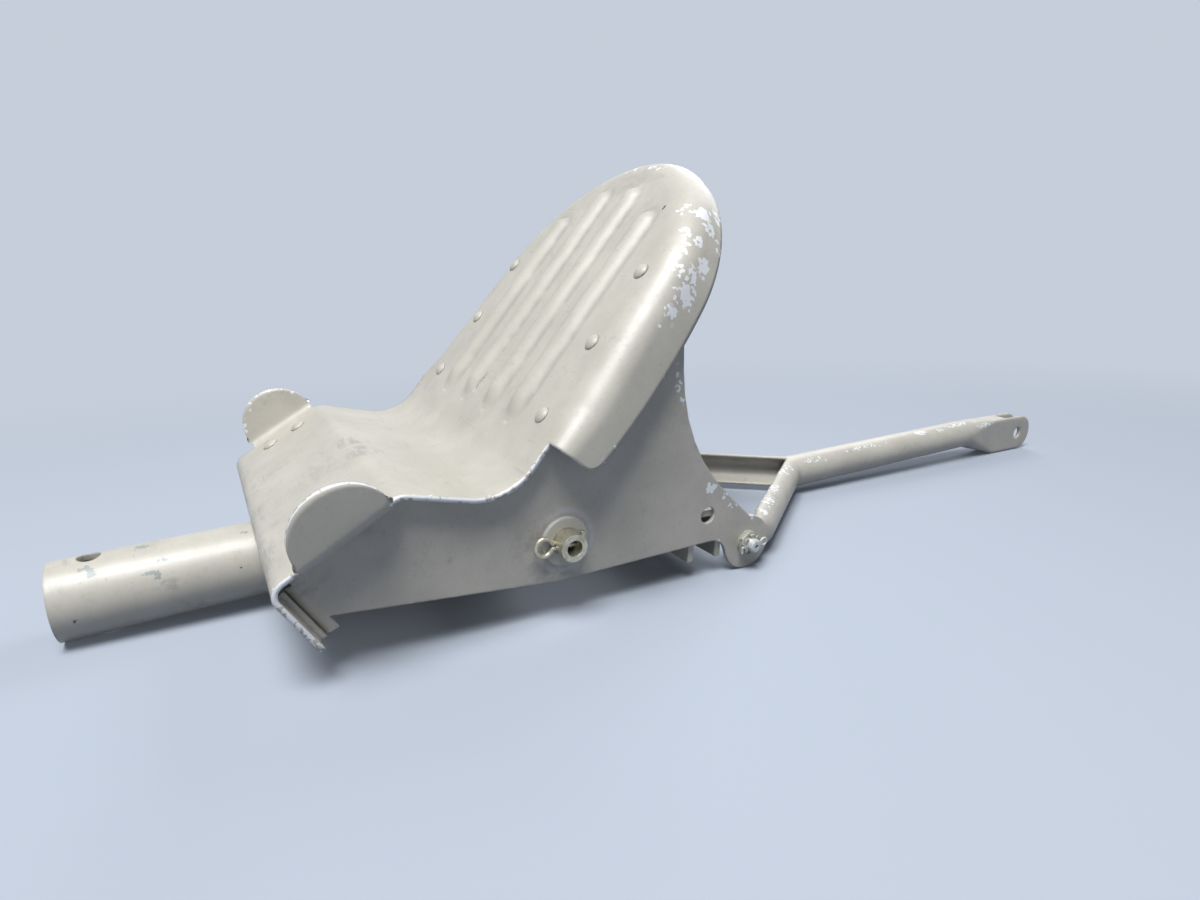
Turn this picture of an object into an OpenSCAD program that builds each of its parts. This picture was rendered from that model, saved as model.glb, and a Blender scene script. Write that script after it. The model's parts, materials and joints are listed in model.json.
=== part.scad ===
// Toe-brake rudder pedal with the stub of its arm tube and its Y-shaped brake link.
// Frame: origin at the centre of the arm tube's open end, +X from the heel to the clevis,
// +Y to the pedal's left, +Z up from the surface that the assembly lies on.

/* [Arm] */
// Outside diameter of the arm tube
arm_od = 25.4; // [22:0.1:30]
// Wall of the arm tube
arm_wall = 2.1; // [1.2:0.1:4]
// Depth of the counterbore that takes the rudder bar's spigot
socket_depth = 130; // [100:1:134]
// Step of the wall at the counterbore's bottom
socket_step = 0.6; // [0.3:0.1:1]
// Distance along the arm tube from its free end to the pivot
arm_reach = 145.5; // [125:0.1:200]
// Length of the arm tube past the pivot
arm_tail = 16; // [13:0.5:30]
// Fall of the arm tube towards its free end, in degrees
arm_pitch = 3; // [0:0.5:6]
// Height of the pivot above the axis of the arm tube
pivot_rise = 7.7; // [4:0.1:12]
// Diameter of the cross bolt hole near the free end
arm_hole_d = 6.4; // [4:0.1:9]
// Distance of the cross bolt hole from the free end
arm_hole_from_end = 11; // [8:0.5:30]

/* [Pivot] */
// Diameter of the hollow pivot pin
pin_d = 9.5; // [8:0.1:11]
// Bore of the hollow pivot pin
pin_bore = 5.5; // [3:0.1:6.5]
// Length of the pin past the right side plate
pin_end = 8; // [6:0.1:12]
// Head of the pin beyond the left side plate: diameter
pin_head_d = 14; // [12:0.5:18]
// Head of the pin: thickness
pin_head_t = 2.5; // [1.5:0.1:4]
// Outside diameter of the cross tube that carries the pivot bushes
cross_od = 19; // [17:0.1:22]
// Outside diameter of the pivot bushes, and bore of the cross tube
bush_od = 12.7; // [12:0.1:14]
// Length of the pivot bushes inside the cross tube
bush_length = 16; // [8:1:30]
// Flange diameter of the pivot bushes
bush_flange_d = 17; // [15:0.5:20]
// Flange thickness of the pivot bushes
bush_flange_t = 1.6; // [1:0.1:3]
// Radial clearance of the pin in its bushes
running_fit = 0.05; // [0.02:0.01:0.1]
// Side clearance of parts that turn against each other
side_gap = 0.3; // [0.3:0.05:1]
// Outside diameter of the pivot washers
pivot_washer_d = 17; // [14:0.5:22]
// Thickness of the pivot washers
pivot_washer_t = 1.6; // [0.8:0.1:3]
// Wire diameter of the pivot cotter
cotter_wire = 2; // [1.2:0.1:2.4]

/* [Pedal sheet] */
// Thickness of the formed pedal sheet
sheet_t = 1.6; // [1:0.1:2.2]
// Overhang of the heel plate past each side plate
heel_overhang = 5.3; // [3:0.1:8]
// Slope of the heel plate, in degrees
heel_angle = 31.5; // [28:0.5:35]
// Place of the sharp heel corner ahead of the pivot
heel_corner_x = -90.9; // [-96:0.1:-88]
// Height of the sharp heel corner above the pivot
heel_corner_z = 4.3; // [3.5:0.1:6]
// Depth of the front lip
front_lip = 24; // [20:0.5:27]
// Outside radius of the front bend
front_bend = 5; // [3:0.5:7]
// Length of the heel plate up to its crest
heel_length = 42.5; // [41:0.5:46]
// Fall of the sheet behind the crest, in degrees
arch_fall = 12.5; // [8:0.5:16]
// Radius of the hollow between heel and toe
arch_radius = 20; // [12:0.5:24]
// Radius of the crest behind the heel
crest_radius = 7; // [3:0.5:12]
// Place of the lowest toe rivets behind the pivot
toe_x = -3.7; // [-8:0.1:0]
// Height of the lowest toe rivets above the pivot
toe_z = 41.2; // [38:0.1:46]
// Slope of the toe plate, in degrees
toe_angle = 51.2; // [48:0.2:55]

/* [Toe pan] */
// Start of the rolled toe lip, below the lowest rivets
pan_start = 7; // [4:0.5:8]
// Length of the toe pan
pan_length = 124; // [115:0.5:135]
// Overhang of the toe pan's round end past each side plate
pan_overhang = 4.7; // [3:0.1:8]
// Angle by which each side of the toe pan leans inwards
pan_taper = 6.5; // [4:0.5:9]
// Depth of the rolled lip at its open lower end
lip_front = 16.5; // [14:0.5:19]
// Depth of the rolled lip halfway up
lip_middle = 21; // [17:0.5:23]
// Depth of the rolled lip at the top
lip_top = 10.5; // [9:0.5:16]
// Radius of the rolled lip's lower front corner
lip_round = 5; // [2:0.5:7]
// Outside radius of the rolled lip's bend
pan_bend = 7; // [5:0.5:10]
// Width of a raised bead
bead_w = 9; // [6:0.5:12]
// Height of a raised bead
bead_h = 2.2; // [1.2:0.1:3]
// Spacing of the raised beads
bead_pitch = 21.8; // [18:0.1:23]
// Lower end of the beads below the lowest rivets
bead_start = 2; // [0:0.5:2.5]
// Upper end of the two outer beads
bead_outer_end = 80; // [60:0.5:86]
// Upper end of the two inner beads
bead_inner_end = 93; // [60:0.5:100]

/* [Heel ears] */
// Radius of the heel ears
ear_radius = 14.4; // [12:0.1:16]
// Distance of the ear's middle from the heel corner
ear_middle = 25.4; // [24:0.1:27]
// Height of the ear above the heel plate
ear_height = 16.5; // [15:0.5:20]
// Angle by which the ear is bent up, in degrees
ear_turn = 85; // [70:1:88]
// Inside radius of the ear's bend
ear_bend = 3; // [2:0.5:5]

/* [Side plates] */
// Half width over the outer faces of the side plates
plate_half = 61.3; // [55:0.1:70]
// Thickness of the side plates
plate_t = 1.6; // [1:0.1:2.5]
// Place of the link bolts behind the pivot
lug_x = 82.5; // [78:0.1:90]
// Height of the link bolts above the pivot
lug_z = -16.9; // [-20:0.1:-12]
// Radius of the rear lugs
lug_radius = 11; // [9:0.1:12.5]
// Front end of the side plates' lower edge, below the heel plate
plate_front = 18.3; // [16:0.1:20]
// Kink of the lower edge, behind the pivot
kink_x = -2; // [-10:0.5:5]
// Kink of the lower edge, above the pivot
kink_z = -14.6; // [-18:0.1:-13]
// Lower edge in front of the rear lugs, above the pivot
notch_z = -13; // [-14:0.1:-12]
// Radius of the notch in front of the rear lugs
lug_notch = 8; // [5:0.5:10]
// Sharp corner of the hollow rear edge, behind the pivot
knee_x = 47.9; // [44:0.1:52]
// Sharp corner of the hollow rear edge, above the pivot
knee_z = 25.5; // [20:0.1:30]
// Radius of the hollow rear edge
rear_radius = 70; // [40:1:80]
// Diameter of the spare hole
spare_hole_d = 6.6; // [4:0.1:8]
// Place of the spare hole behind the pivot
spare_hole_x = 61.5; // [60:0.1:63]
// Height of the spare hole above the pivot
spare_hole_z = -2; // [-3:0.1:0]
// Width of the flange under the toe plate
toe_flange = 17; // [14:0.5:22]
// Upper end of the toe flange above the lowest rivets
toe_flange_end = 68; // [65:0.5:70]
// Start of the toe flange's slope, which clears the rolled lip's bend
flange_slope = 32; // [28:0.5:36]
// Width of the flange under the heel plate
heel_flange = 12; // [10:0.5:16]
// Width of the inward front flange
front_flange = 24; // [20:0.5:30]
// Outside radius of the front flange's bend
plate_bend = 2.6; // [2.2:0.1:5]

/* [Rear tie] */
// Width of the rear tie channel
tie_w = 15.5; // [12:0.5:16]
// Height of the rear tie channel
tie_h = 20; // [14:0.5:22]
// Front wall of the rear tie behind the pivot
tie_x = 54.5; // [50:0.5:56]
// Top of the rear tie above the pivot
tie_top = -0.8; // [-3:0.1:0]
// Sheet thickness of the rear tie
tie_t = 2.4; // [1.2:0.1:3]

/* [Rivets] */
// Diameter of the rivet shanks
rivet_d = 3.2; // [2.4:0.1:4]
// Diameter of the domed rivet heads
rivet_head_d = 6.4; // [5:0.1:8]
// Height of the domed rivet heads
rivet_head_h = 1.5; // [1:0.1:2.2]
// Spacing of the toe rivets
toe_rivet_pitch = 29.3; // [24:0.1:32]
// Distance of the toe rivets inside the side plates' outer faces
toe_rivet_inset = 9.1; // [8:0.1:11]
// Distance of the heel rivets inside the side plates' outer faces
heel_rivet_inset = 5.8; // [5:0.1:7]
// Middle of the two heel rivets of a side, from the heel corner
heel_rivet_middle = 23.8; // [22:0.1:26]
// Spacing of the two heel rivets of a side
heel_rivet_pitch = 12.9; // [10:0.1:16]
// Distance of the outer lip rivets from the side plates
lip_rivet_edge = 8; // [7:0.5:10]
// Spacing of the two lip rivets of a side
lip_rivet_pitch = 10; // [9:0.5:12]
// Depth of the lip rivets below the heel plate
lip_rivet_depth = 14.9; // [12:0.1:18]

/* [Link bolts] */
// Diameter of the link bolts
bolt_d = 6.3; // [5:0.1:7]
// Width across flats of bolt heads and nuts
hex_flats = 11.1; // [10:0.1:12]
// Height of the bolt heads
bolt_head_h = 4; // [2.5:0.1:5]
// Height of the castle nuts
nut_h = 4; // [3:0.1:6]
// Length of the bolt past its nut
bolt_end = 1; // [0.5:0.1:3]
// Outside diameter of the link bolt washers
bolt_washer_d = 12.6; // [11:0.1:14]
// Thickness of the link bolt washers
bolt_washer_t = 0.8; // [0.5:0.1:1.6]
// Outside diameter of the bushes that the link turns on
link_bush_od = 9.5; // [8.5:0.1:11]
// Wire diameter of the link cotters
link_cotter_wire = 1.5; // [1:0.1:1.8]

/* [Brake link] */
// Outside diameter of the link tube
link_od = 17; // [15:0.1:19]
// Wall of the link tube and its legs
link_wall = 2; // [1.2:0.1:3]
// Distance from the link bolts to the fork of the legs
fork_reach = 82.5; // [70:0.5:100]
// Distance from the link bolts to the clevis hole
link_length = 293; // [260:0.5:330]
// Rise of the link tube towards the clevis, in degrees
link_rise = 1.7; // [0:0.1:2.5]
// Thickness of the leg lugs
leg_lug_t = 3.1; // [2.5:0.1:4.5]
// Radius of the leg lugs
leg_lug_radius = 9.5; // [8:0.1:10.5]
// Diameter of the clevis hole
clevis_hole_d = 6.5; // [5:0.1:8]
// Half height of the flattened clevis end
clevis_half = 11.3; // [10:0.1:12]
// Width over the clevis ears
clevis_w = 12; // [10:0.5:15]
// Width of the clevis slot
clevis_slot = 7; // [5:0.5:8]
// Depth of the clevis slot in front of the hole
clevis_depth = 13; // [10:0.5:18]
// Length of the flattened end in front of the hole
clevis_flat = 26; // [22:0.5:34]
// Distance of the clevis end's round past the hole
clevis_tip = 3.5; // [0:0.5:6]
// Length over which the tube is flattened
clevis_taper = 30; // [20:0.5:40]

/* [Hidden] */
$fn = 64;

paint = [0.66, 0.64, 0.58];
plated = [0.72, 0.70, 0.60];
bronze = [0.62, 0.48, 0.28];

// Small overlap that makes cuts pass through faces
cut = 1;
// Radial clearance of shanks in drilled holes that are clamped or riveted
drilled_fit = 0.1;
bend_steps = 6;
round_steps = 24;

// Half widths of the heel plate and of the rivet rows, from the side plates
heel_half = plate_half + heel_overhang;
toe_rivet_half = plate_half - toe_rivet_inset;
heel_rivet_half = plate_half - heel_rivet_inset;

// Toe pan in its own plane: radius and middle of the round end, and half width at the open lower end
pan_end_r = plate_half + pan_overhang;
pan_middle = pan_length - pan_start - pan_end_r;
pan_half = ((pan_middle + pan_start) * sin(pan_taper) + pan_end_r) / cos(pan_taper);
lip_steps = 8;
// Laps by which pieces of one formed sheet run into each other, and the small steps between their faces
lap = 1.5;
step = 0.05;
seam_step = 0.2;

pivot = [arm_reach * cos(arm_pitch) - pivot_rise * sin(arm_pitch), 0,
         arm_reach * sin(arm_pitch) + pivot_rise * cos(arm_pitch)];
plate_in = plate_half - plate_t;
pin_hole_d = pin_d + 2 * running_fit;
bolt_hole_d = bolt_d + 2 * drilled_fit;
rivet_hole_d = rivet_d + 2 * drilled_fit;
rivet_tail_d = rivet_d * 1.5;
rivet_tail_h = rivet_d * 0.5;

// Stack behind the front lip, measured from its outer face along the heel
doubler_at = sheet_t;
flange_at = doubler_at + sheet_t;
lip_low = -front_lip;

// Sharp corners of the formed sheet's top face, from the front lip to the toe
heel_corner = [heel_corner_x, heel_corner_z];
heel_dir = [cos(heel_angle), sin(heel_angle)];
heel_up = [-sin(heel_angle), cos(heel_angle)];
toe_base = [toe_x, toe_z];
toe_dir = [cos(toe_angle), sin(toe_angle)];
toe_up = [-sin(toe_angle), cos(toe_angle)];
lip_foot = heel_corner - front_lip * heel_up;
crest = heel_corner + heel_length * heel_dir;
arch_dir = [cos(arch_fall), -sin(arch_fall)];
toe_low = toe_base - seam_step * toe_up;
arch_corner = crest + arch_dir * cross2(toe_low - crest, toe_dir) / cross2(arch_dir, toe_dir);
toe_seam = toe_low - (pan_start - lap) * toe_dir;
sheet_top = rounded([lip_foot, heel_corner, crest, arch_corner, toe_seam],
                    [0, front_bend, crest_radius, arch_radius, 0]);

// Plan directions of the link's legs, which end a small gap behind the round of their lugs
leg_gap = 4;
leg_end = [lug_x + leg_lug_radius + leg_gap, plate_in - side_gap - link_od / 2];
fork_x = lug_x + fork_reach;
leg_angle = atan2(leg_end[1], fork_x - leg_end[0]);
clevis_x = lug_x + link_length;
flat_x = clevis_x - clevis_flat;
tube_end_x = flat_x - clevis_taper;
tube_end_z = lug_z + (tube_end_x - fork_x) * tan(link_rise);
tube_run = (tube_end_x - fork_x) / cos(link_rise);
leg_run = norm([fork_x - leg_end[0], leg_end[1]]);
clevis_z = lug_z - lug_radius + clevis_half;
slice = 0.5;
lug_in = plate_in - side_gap - leg_lug_t;
// Strap from the leg to its lug: starts clear of the bolt head's corners, inside the lug's round
strap_from = hex_flats / 2 / cos(30) + 3 * side_gap;
strap_half = sqrt(pow(leg_lug_radius, 2) - pow(strap_from, 2)) - drilled_fit - slice;
bolt_seat = lug_in - side_gap;
nut_out = plate_half + bolt_washer_t + nut_h;
nut_slot = link_cotter_wire + drilled_fit;
link_cotter_y = -nut_out + nut_slot - drilled_fit - link_cotter_wire / 2;
cotter_y = -plate_half - pivot_washer_t - drilled_fit - cotter_wire / 2;

// Place on the rear lug's round where the side plates' hollow rear edge starts, and step of that round
rear_foot_angle = 88.5;
lug_step = 8;
// Start of the sheet's flare behind the crest
flare_x = crest[0] + 10;
flange_start = -5;
// Flat root of an ear past the heel plate's edge
ear_root = 1;
// Spread of a cotter's legs, their length as a share of the shank and their width as a share of the wire
cotter_spread = 55;
cotter_leg = 0.45;
cotter_leg_d = 0.8;
bead_r = (bead_w * bead_w / 4 + bead_h * bead_h) / (2 * bead_h);

function cross2(a, b) = a[0] * b[1] - a[1] * b[0];
function unit(v) = v / norm(v);
function reversed(list) = [for (i = [len(list) - 1:-1:0]) list[i]];

// Points of an arc that rounds the corner b between a and c
function corner_arc(a, b, c, radius) =
    let (u = unit(a - b), v = unit(c - b), half = acos(u * v) / 2,
         middle = b + unit(u + v) * radius / sin(half),
         from = b + u * radius / tan(half), to = b + v * radius / tan(half),
         start = atan2(from[1] - middle[1], from[0] - middle[0]),
         turn = 180 - 2 * half,
         way = cross2(u, v) > 0 ? -1 : 1)
    [for (k = [0:bend_steps]) let (a = start + way * turn * k / bend_steps)
        middle + radius * [cos(a), sin(a)]];

// Points of an arc about a middle, between two angles
function arc(middle, radius, from, to, steps) =
    [for (k = [0:steps]) let (a = from + (to - from) * k / steps) middle + radius * [cos(a), sin(a)]];

// An open path with its inner corners rounded
function rounded(points, radii) =
    [for (i = [0:len(points) - 1])
        for (p = radii[i] == 0 ? [points[i]]
                 : corner_arc(points[i - 1], points[i], points[i + 1], radii[i])) p];

// The path moved sideways by a distance, to the left of its direction
function moved(path, distance) =
    [for (i = [0:len(path) - 1])
        let (before = unit(path[max(i, 1)] - path[max(i, 1) - 1]),
             after = unit(path[min(i, len(path) - 2) + 1] - path[min(i, len(path) - 2)]),
             n1 = [-before[1], before[0]], n2 = [-after[1], after[0]],
             n = unit(n1 + n2))
        path[i] + n * distance / (n * n1)];

// Closed outline of a bent sheet that lies to the right of a path
function bent_sheet(path, thickness) = concat(path, reversed(moved(path, -thickness)));

module at_pivot() translate(pivot) children();
module heel_frame() translate([heel_corner[0], 0, heel_corner[1]]) rotate([0, -heel_angle, 0]) children();
module toe_frame() translate([toe_base[0], 0, toe_base[1]]) rotate([0, -toe_angle, 0]) children();
module arm_frame() rotate([0, -arm_pitch, 0]) children();
module extrude_y(from, to) translate([0, to, 0]) rotate([90, 0, 0]) linear_extrude(to - from) children();
module along_y(d, from, to) translate([0, from, 0]) rotate([-90, 0, 0]) cylinder(d = d, h = to - from);
module along_x(d, from, to) translate([from, 0, 0]) rotate([0, 90, 0]) cylinder(d = d, h = to - from);
module both_sides() for (side = [0, 1]) mirror([0, side, 0]) children();
module at_lug() translate([lug_x, 0, lug_z]) children();

// Places of the rivets, as frames with +Z along the shank towards the head
module at_toe_rivets() toe_frame() both_sides() for (k = [0:2])
    translate([k * toe_rivet_pitch, -toe_rivet_half, 0]) children();
module at_heel_rivets() heel_frame() both_sides() for (way = [-1, 1])
    translate([heel_rivet_middle + way * heel_rivet_pitch / 2, -heel_rivet_half, 0]) children();
module at_lip_rivets() heel_frame() both_sides() for (k = [0, 1])
    translate([0, -plate_in + lip_rivet_edge + k * lip_rivet_pitch, -lip_rivet_depth])
        rotate([0, -90, 0]) children();

module rivet(grip) {
    cap = (rivet_head_d * rivet_head_d / 4 + rivet_head_h * rivet_head_h) / (2 * rivet_head_h);
    intersection() {
        translate([0, 0, rivet_head_h - cap]) sphere(cap);
        cylinder(d = rivet_head_d + cut, h = rivet_head_h + cut);
    }
    translate([0, 0, -grip - rivet_tail_h]) cylinder(d = rivet_d, h = grip + rivet_tail_h);
    translate([0, 0, -grip - rivet_tail_h]) cylinder(d = rivet_tail_d, h = rivet_tail_h);
}
module rivet_hole(grip) translate([0, 0, -grip - cut]) cylinder(d = rivet_hole_d, h = grip + 2 * cut);

// Saddle that clears the arm tube, open at the bottom
module arm_saddle() translate(-pivot) arm_frame() rotate([90, 0, 90]) linear_extrude(arm_reach) {
    radius = (arm_od / 2 + side_gap) / cos(90 / round_steps);
    polygon(concat(arc([0, 0], radius, 0, 180, round_steps),
                   [[-radius, -2 * arm_od], [radius, -2 * arm_od]]));
}

module washer(d, hole, t) difference() {
    cylinder(d = d, h = t);
    translate([0, 0, -cut]) cylinder(d = hole, h = t + 2 * cut);
}

// Split pin along +X through a shank: ring eye at one end, two legs spread at the other
module cotter(wire, shank, eye) {
    along_x(wire, -shank / 2 - eye, shank / 2 + wire);
    translate([-shank / 2 - eye - wire / 2, 0, 0]) rotate([90, 0, 0])
        rotate_extrude() translate([eye - wire / 2, 0]) circle(d = wire);
    for (way = [-1, 1]) translate([shank / 2 + wire, 0, 0]) rotate([0, 90 - way * cotter_spread, 0])
        cylinder(d = wire * cotter_leg_d, h = shank * cotter_leg);
}

module hex_prism(flats, h) cylinder(d = flats / cos(30), h = h, $fn = 6);

// Arm

module arm_tube() color(paint) difference() {
    arm_frame() difference() {
        along_x(arm_od, 0, arm_reach + arm_tail);
        along_x(arm_od - 2 * arm_wall, -cut, socket_depth);
        along_x(arm_od - 2 * arm_wall - 2 * socket_step, 0, arm_reach + arm_tail + cut);
        translate([arm_hole_from_end, 0, -arm_od]) cylinder(d = arm_hole_d, h = 2 * arm_od);
    }
    at_pivot() along_y(cross_od, -plate_half, plate_half);
}

module arm_cross_tube() color(paint) at_pivot() difference() {
    reach = plate_in - side_gap - bush_flange_t;
    along_y(cross_od, -reach, reach);
    along_y(bush_od, -reach - cut, reach + cut);
}

module right_pivot_bush() color(bronze) at_pivot() difference() {
    face = plate_in - side_gap;
    union() {
        along_y(bush_flange_d, -face, -face + bush_flange_t);
        along_y(bush_od, -face, -face + bush_flange_t + bush_length);
    }
    along_y(pin_hole_d, -face - cut, -face + bush_flange_t + bush_length + cut);
}

module left_pivot_bush() mirror([0, 1, 0]) right_pivot_bush();

// Pedal

// Section of the toe pan's rim, from a band of its flat to the rolled lip, which is cut to its depth later
function rim_section(inset) =
    let (outer = pan_bend - inset, inner = pan_bend - sheet_t + inset, flat = pan_end_r - pan_bend,
         deep = lip_middle + cut)
    concat([[flat - 2 * lap, -inset]],
           arc([flat, -pan_bend], outer, 90, 0, bend_steps),
           [[flat + outer, -deep], [flat + inner, -deep]],
           arc([flat, -pan_bend], inner, 0, 90, bend_steps),
           [[flat - 2 * lap, -sheet_t + inset]]);

// Flat of the toe pan, which runs into the rim's band
function pan_flat() =
    let (radius = pan_end_r - pan_bend - lap, low = -pan_start - lap,
         half = ((pan_middle - low) * sin(pan_taper) + radius) / cos(pan_taper))
    concat(arc([pan_middle, 0], radius, pan_taper - 90, 90 - pan_taper, round_steps),
           [[low, half], [low, -half]]);

// Depth of the rolled lip at a share of the pan's length: a parabola through its three depths
function lip_depth(share) =
    lip_front * (1 - share) + lip_top * share
    + (4 * lip_middle - 2 * lip_front - 2 * lip_top) * share * (1 - share);

// Side view of the toe pan, with the lower edge of its lip
function pan_side_view() =
    let (high = 2 * bead_h,
         edge = [for (k = [0:lip_steps]) let (share = k / lip_steps)
             [-pan_start + share * (pan_length + cut), -lip_depth(share)]])
    concat(rounded(concat([[-pan_start, high]], edge),
                   [for (k = [0:lip_steps + 1]) k == 1 ? lip_round : 0]),
           [[pan_length - pan_start + cut, high]]);

// Toe pan with its top face at Z 0: the rim's round end and two straight tapered sides, and the flat
module pan_shell() intersection() {
    union() {
        translate([pan_middle, 0, 0]) {
            rotate([0, 0, pan_taper - 90]) rotate_extrude(angle = 180 - 2 * pan_taper)
                polygon(rim_section(step));
            both_sides() rotate([0, 0, -pan_taper]) translate([lap, 0, 0]) rotate([90, 0, -90])
                linear_extrude(pan_length) polygon([for (p = rim_section(2 * step)) [-p[0], p[1]]]);
        }
        translate([0, 0, -sheet_t]) linear_extrude(sheet_t) polygon(pan_flat());
    }
    extrude_y(-pan_half - cut, pan_half + cut) polygon(pan_side_view());
}

// Half section of a rod with round ends, along its length
function rod_section(radius, length) =
    concat([for (k = [0:bend_steps]) let (a = 90 * k / bend_steps) [radius * sin(a), -radius * cos(a)]],
           [for (k = [0:bend_steps]) let (a = 90 * k / bend_steps)
               [radius * cos(a), length + radius * sin(a)]]);

module bead(radius, from, to) translate([from, 0, 0]) rotate([0, 90, 0])
    rotate_extrude() polygon(rod_section(radius, to - from));

module beads(radius, depth) for (k = [0:3])
    translate([0, (k - 1.5) * bead_pitch, -depth])
        bead(radius, -bead_start, k == 0 || k == 3 ? bead_outer_end : bead_inner_end);

module heel_ear() {
    bend = arc([heel_half + ear_root, ear_bend - step], ear_bend, -90, ear_turn - 90, bend_steps);
    tip = bend[bend_steps] + 2 * ear_height * [cos(ear_turn), sin(ear_turn)];
    path = concat([[heel_half - lap, -step]], bend, [tip]);
    intersection() {
        translate([ear_middle - ear_radius, 0, 0]) rotate([90, 0, 90])
            linear_extrude(2 * ear_radius) polygon(bent_sheet(path, sheet_t - 2 * step));
        extrude_y(0, 2 * heel_half) translate([ear_middle, ear_height - ear_radius])
            polygon(concat(arc([0, 0], ear_radius, 0, 180, round_steps),
                           [[-ear_radius, -2 * ear_radius], [ear_radius, -2 * ear_radius]]));
    }
}

// Plan outline of the heel and arch: straight sides that flare out to the toe pan
module plan_outline() {
    flare = [for (k = [0:bend_steps]) let (s = k / bend_steps)
        [flare_x + s * (toe_seam[0] + cut - flare_x), heel_half + s * s * (pan_half - pan_bend - heel_half)]];
    side = concat([[heel_corner_x - front_bend, heel_half]], flare);
    polygon(concat(side, [for (p = reversed(side)) [p[0], -p[1]]]));
}

module heel_and_arch() intersection() {
    extrude_y(-pan_half, pan_half) polygon(bent_sheet(sheet_top, sheet_t));
    translate([0, 0, heel_corner_z - 2 * front_lip]) linear_extrude(4 * front_lip) plan_outline();
}

module pedal_plate() color(paint) at_pivot() difference() {
    union() {
        heel_and_arch();
        heel_frame() both_sides() heel_ear();
        toe_frame() {
            pan_shell();
            intersection() {
                beads(bead_r, bead_r - bead_h);
                translate([-pan_start, -pan_half, -sheet_t / 2])
                    cube([pan_length, 2 * pan_half, sheet_t + 2 * bead_h]);
            }
        }
    }
    toe_frame() beads(bead_r - sheet_t, bead_r - bead_h);
    at_toe_rivets() rivet_hole(sheet_t);
    at_heel_rivets() rivet_hole(sheet_t);
    at_lip_rivets() rivet_hole(sheet_t);
    arm_saddle();
}

module plate_outline() {
    under = moved(sheet_top, -sheet_t);
    lug = [lug_x, lug_z];
    notch_back = sqrt(pow(lug_radius + lug_notch, 2) - pow(lug_z - notch_z + lug_notch, 2));
    notch = [lug_x - notch_back, notch_z - lug_notch];
    notch_turn = atan2(lug_z - notch[1], notch_back);
    rear = rounded([lug + lug_radius * [cos(rear_foot_angle), sin(rear_foot_angle)], [knee_x, knee_z],
                    toe_base + toe_flange_end * toe_dir - pan_bend * toe_up], [0, rear_radius, 0]);
    slope_start = toe_base + flange_slope * toe_dir - sheet_t * toe_up;
    front = heel_corner + (flange_at + plate_bend) * heel_dir;
    polygon(concat([front - sheet_t * heel_up, front - plate_front * heel_up, [kink_x, kink_z]],
                   arc(notch, lug_notch, 90, notch_turn, bend_steps),
                   arc(lug, lug_radius, notch_turn - 180 + lug_step, rear_foot_angle - lug_step, round_steps),
                   rear, [slope_start], [for (k = [len(under) - 1:-1:bend_steps + 2]) under[k]]));
}

module right_side_plate() color(paint) at_pivot() difference() {
    outer = plate_half - step;
    union() {
        extrude_y(-plate_half, -plate_in) plate_outline();
        toe_frame() translate([0, 0, -sheet_t - plate_t]) linear_extrude(plate_t - step)
            polygon([[flange_start, -outer], [flange_slope, -outer],
                     [toe_flange_end, -plate_half + pan_bend], [toe_flange_end, -plate_half + toe_flange],
                     [flange_start, -plate_half + toe_flange]]);
        heel_frame() {
            translate([flange_at + plate_bend + step, -outer, -sheet_t - plate_t])
                cube([heel_length - crest_radius - flange_at - plate_bend, heel_flange, plate_t - step]);
            translate([0, 0, lip_low]) linear_extrude(front_lip - front_bend)
                polygon(bent_sheet(rounded([[flange_at + plate_bend + lap, -outer], [flange_at, -outer],
                                            [flange_at, -plate_half + front_flange]],
                                           [0, plate_bend, 0]), plate_t - 2 * step));
        }
    }
    along_y(pin_hole_d, -plate_half - cut, -plate_in + cut);
    at_lug() along_y(bolt_hole_d, -plate_half - cut, -plate_in + cut);
    translate([spare_hole_x, 0, spare_hole_z]) along_y(spare_hole_d, -plate_half - cut, -plate_in + cut);
    at_toe_rivets() rivet_hole(sheet_t + plate_t);
    at_heel_rivets() rivet_hole(sheet_t + plate_t);
    at_lip_rivets() rivet_hole(2 * sheet_t + plate_t);
}

module left_side_plate() mirror([0, 1, 0]) right_side_plate();

module front_doubler() color(paint) at_pivot() difference() {
    heel_frame() translate([doubler_at, -plate_half, lip_low])
        cube([sheet_t, 2 * plate_half, front_lip - front_bend]);
    at_lip_rivets() rivet_hole(2 * sheet_t);
    arm_saddle();
}

module rear_tie() color(paint) at_pivot() extrude_y(-plate_in, plate_in)
    translate([tie_x, tie_top - tie_h]) difference() {
        square([tie_w, tie_h]);
        translate([tie_t, -cut]) square([tie_w - 2 * tie_t, tie_h - tie_t + cut]);
    }

module toe_rivets() color(paint) at_pivot() at_toe_rivets() rivet(sheet_t + plate_t);
module heel_rivets() color(paint) at_pivot() at_heel_rivets() rivet(sheet_t + plate_t);
module front_lip_rivets() color(paint) at_pivot() at_lip_rivets() rivet(2 * sheet_t + plate_t);

module pivot_pin() color(plated) at_pivot() difference() {
    union() {
        along_y(pin_d, -plate_half - pin_end, plate_half + pivot_washer_t + pin_head_t);
        along_y(pin_head_d, plate_half + pivot_washer_t, plate_half + pivot_washer_t + pin_head_t);
    }
    along_y(pin_bore, -plate_half - pin_end - cut, plate_half + pivot_washer_t + pin_head_t + cut);
    translate([0, cotter_y, 0]) along_x(cotter_wire + 2 * drilled_fit, -pin_d, pin_d);
}

module pivot_washers() color(plated) at_pivot() both_sides() translate([0, plate_half, 0]) rotate([-90, 0, 0])
    washer(pivot_washer_d, pin_hole_d, pivot_washer_t);

module pivot_cotter() color(plated) at_pivot() translate([0, cotter_y, 0])
    cotter(cotter_wire, pin_d, 2 * cotter_wire);

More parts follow.
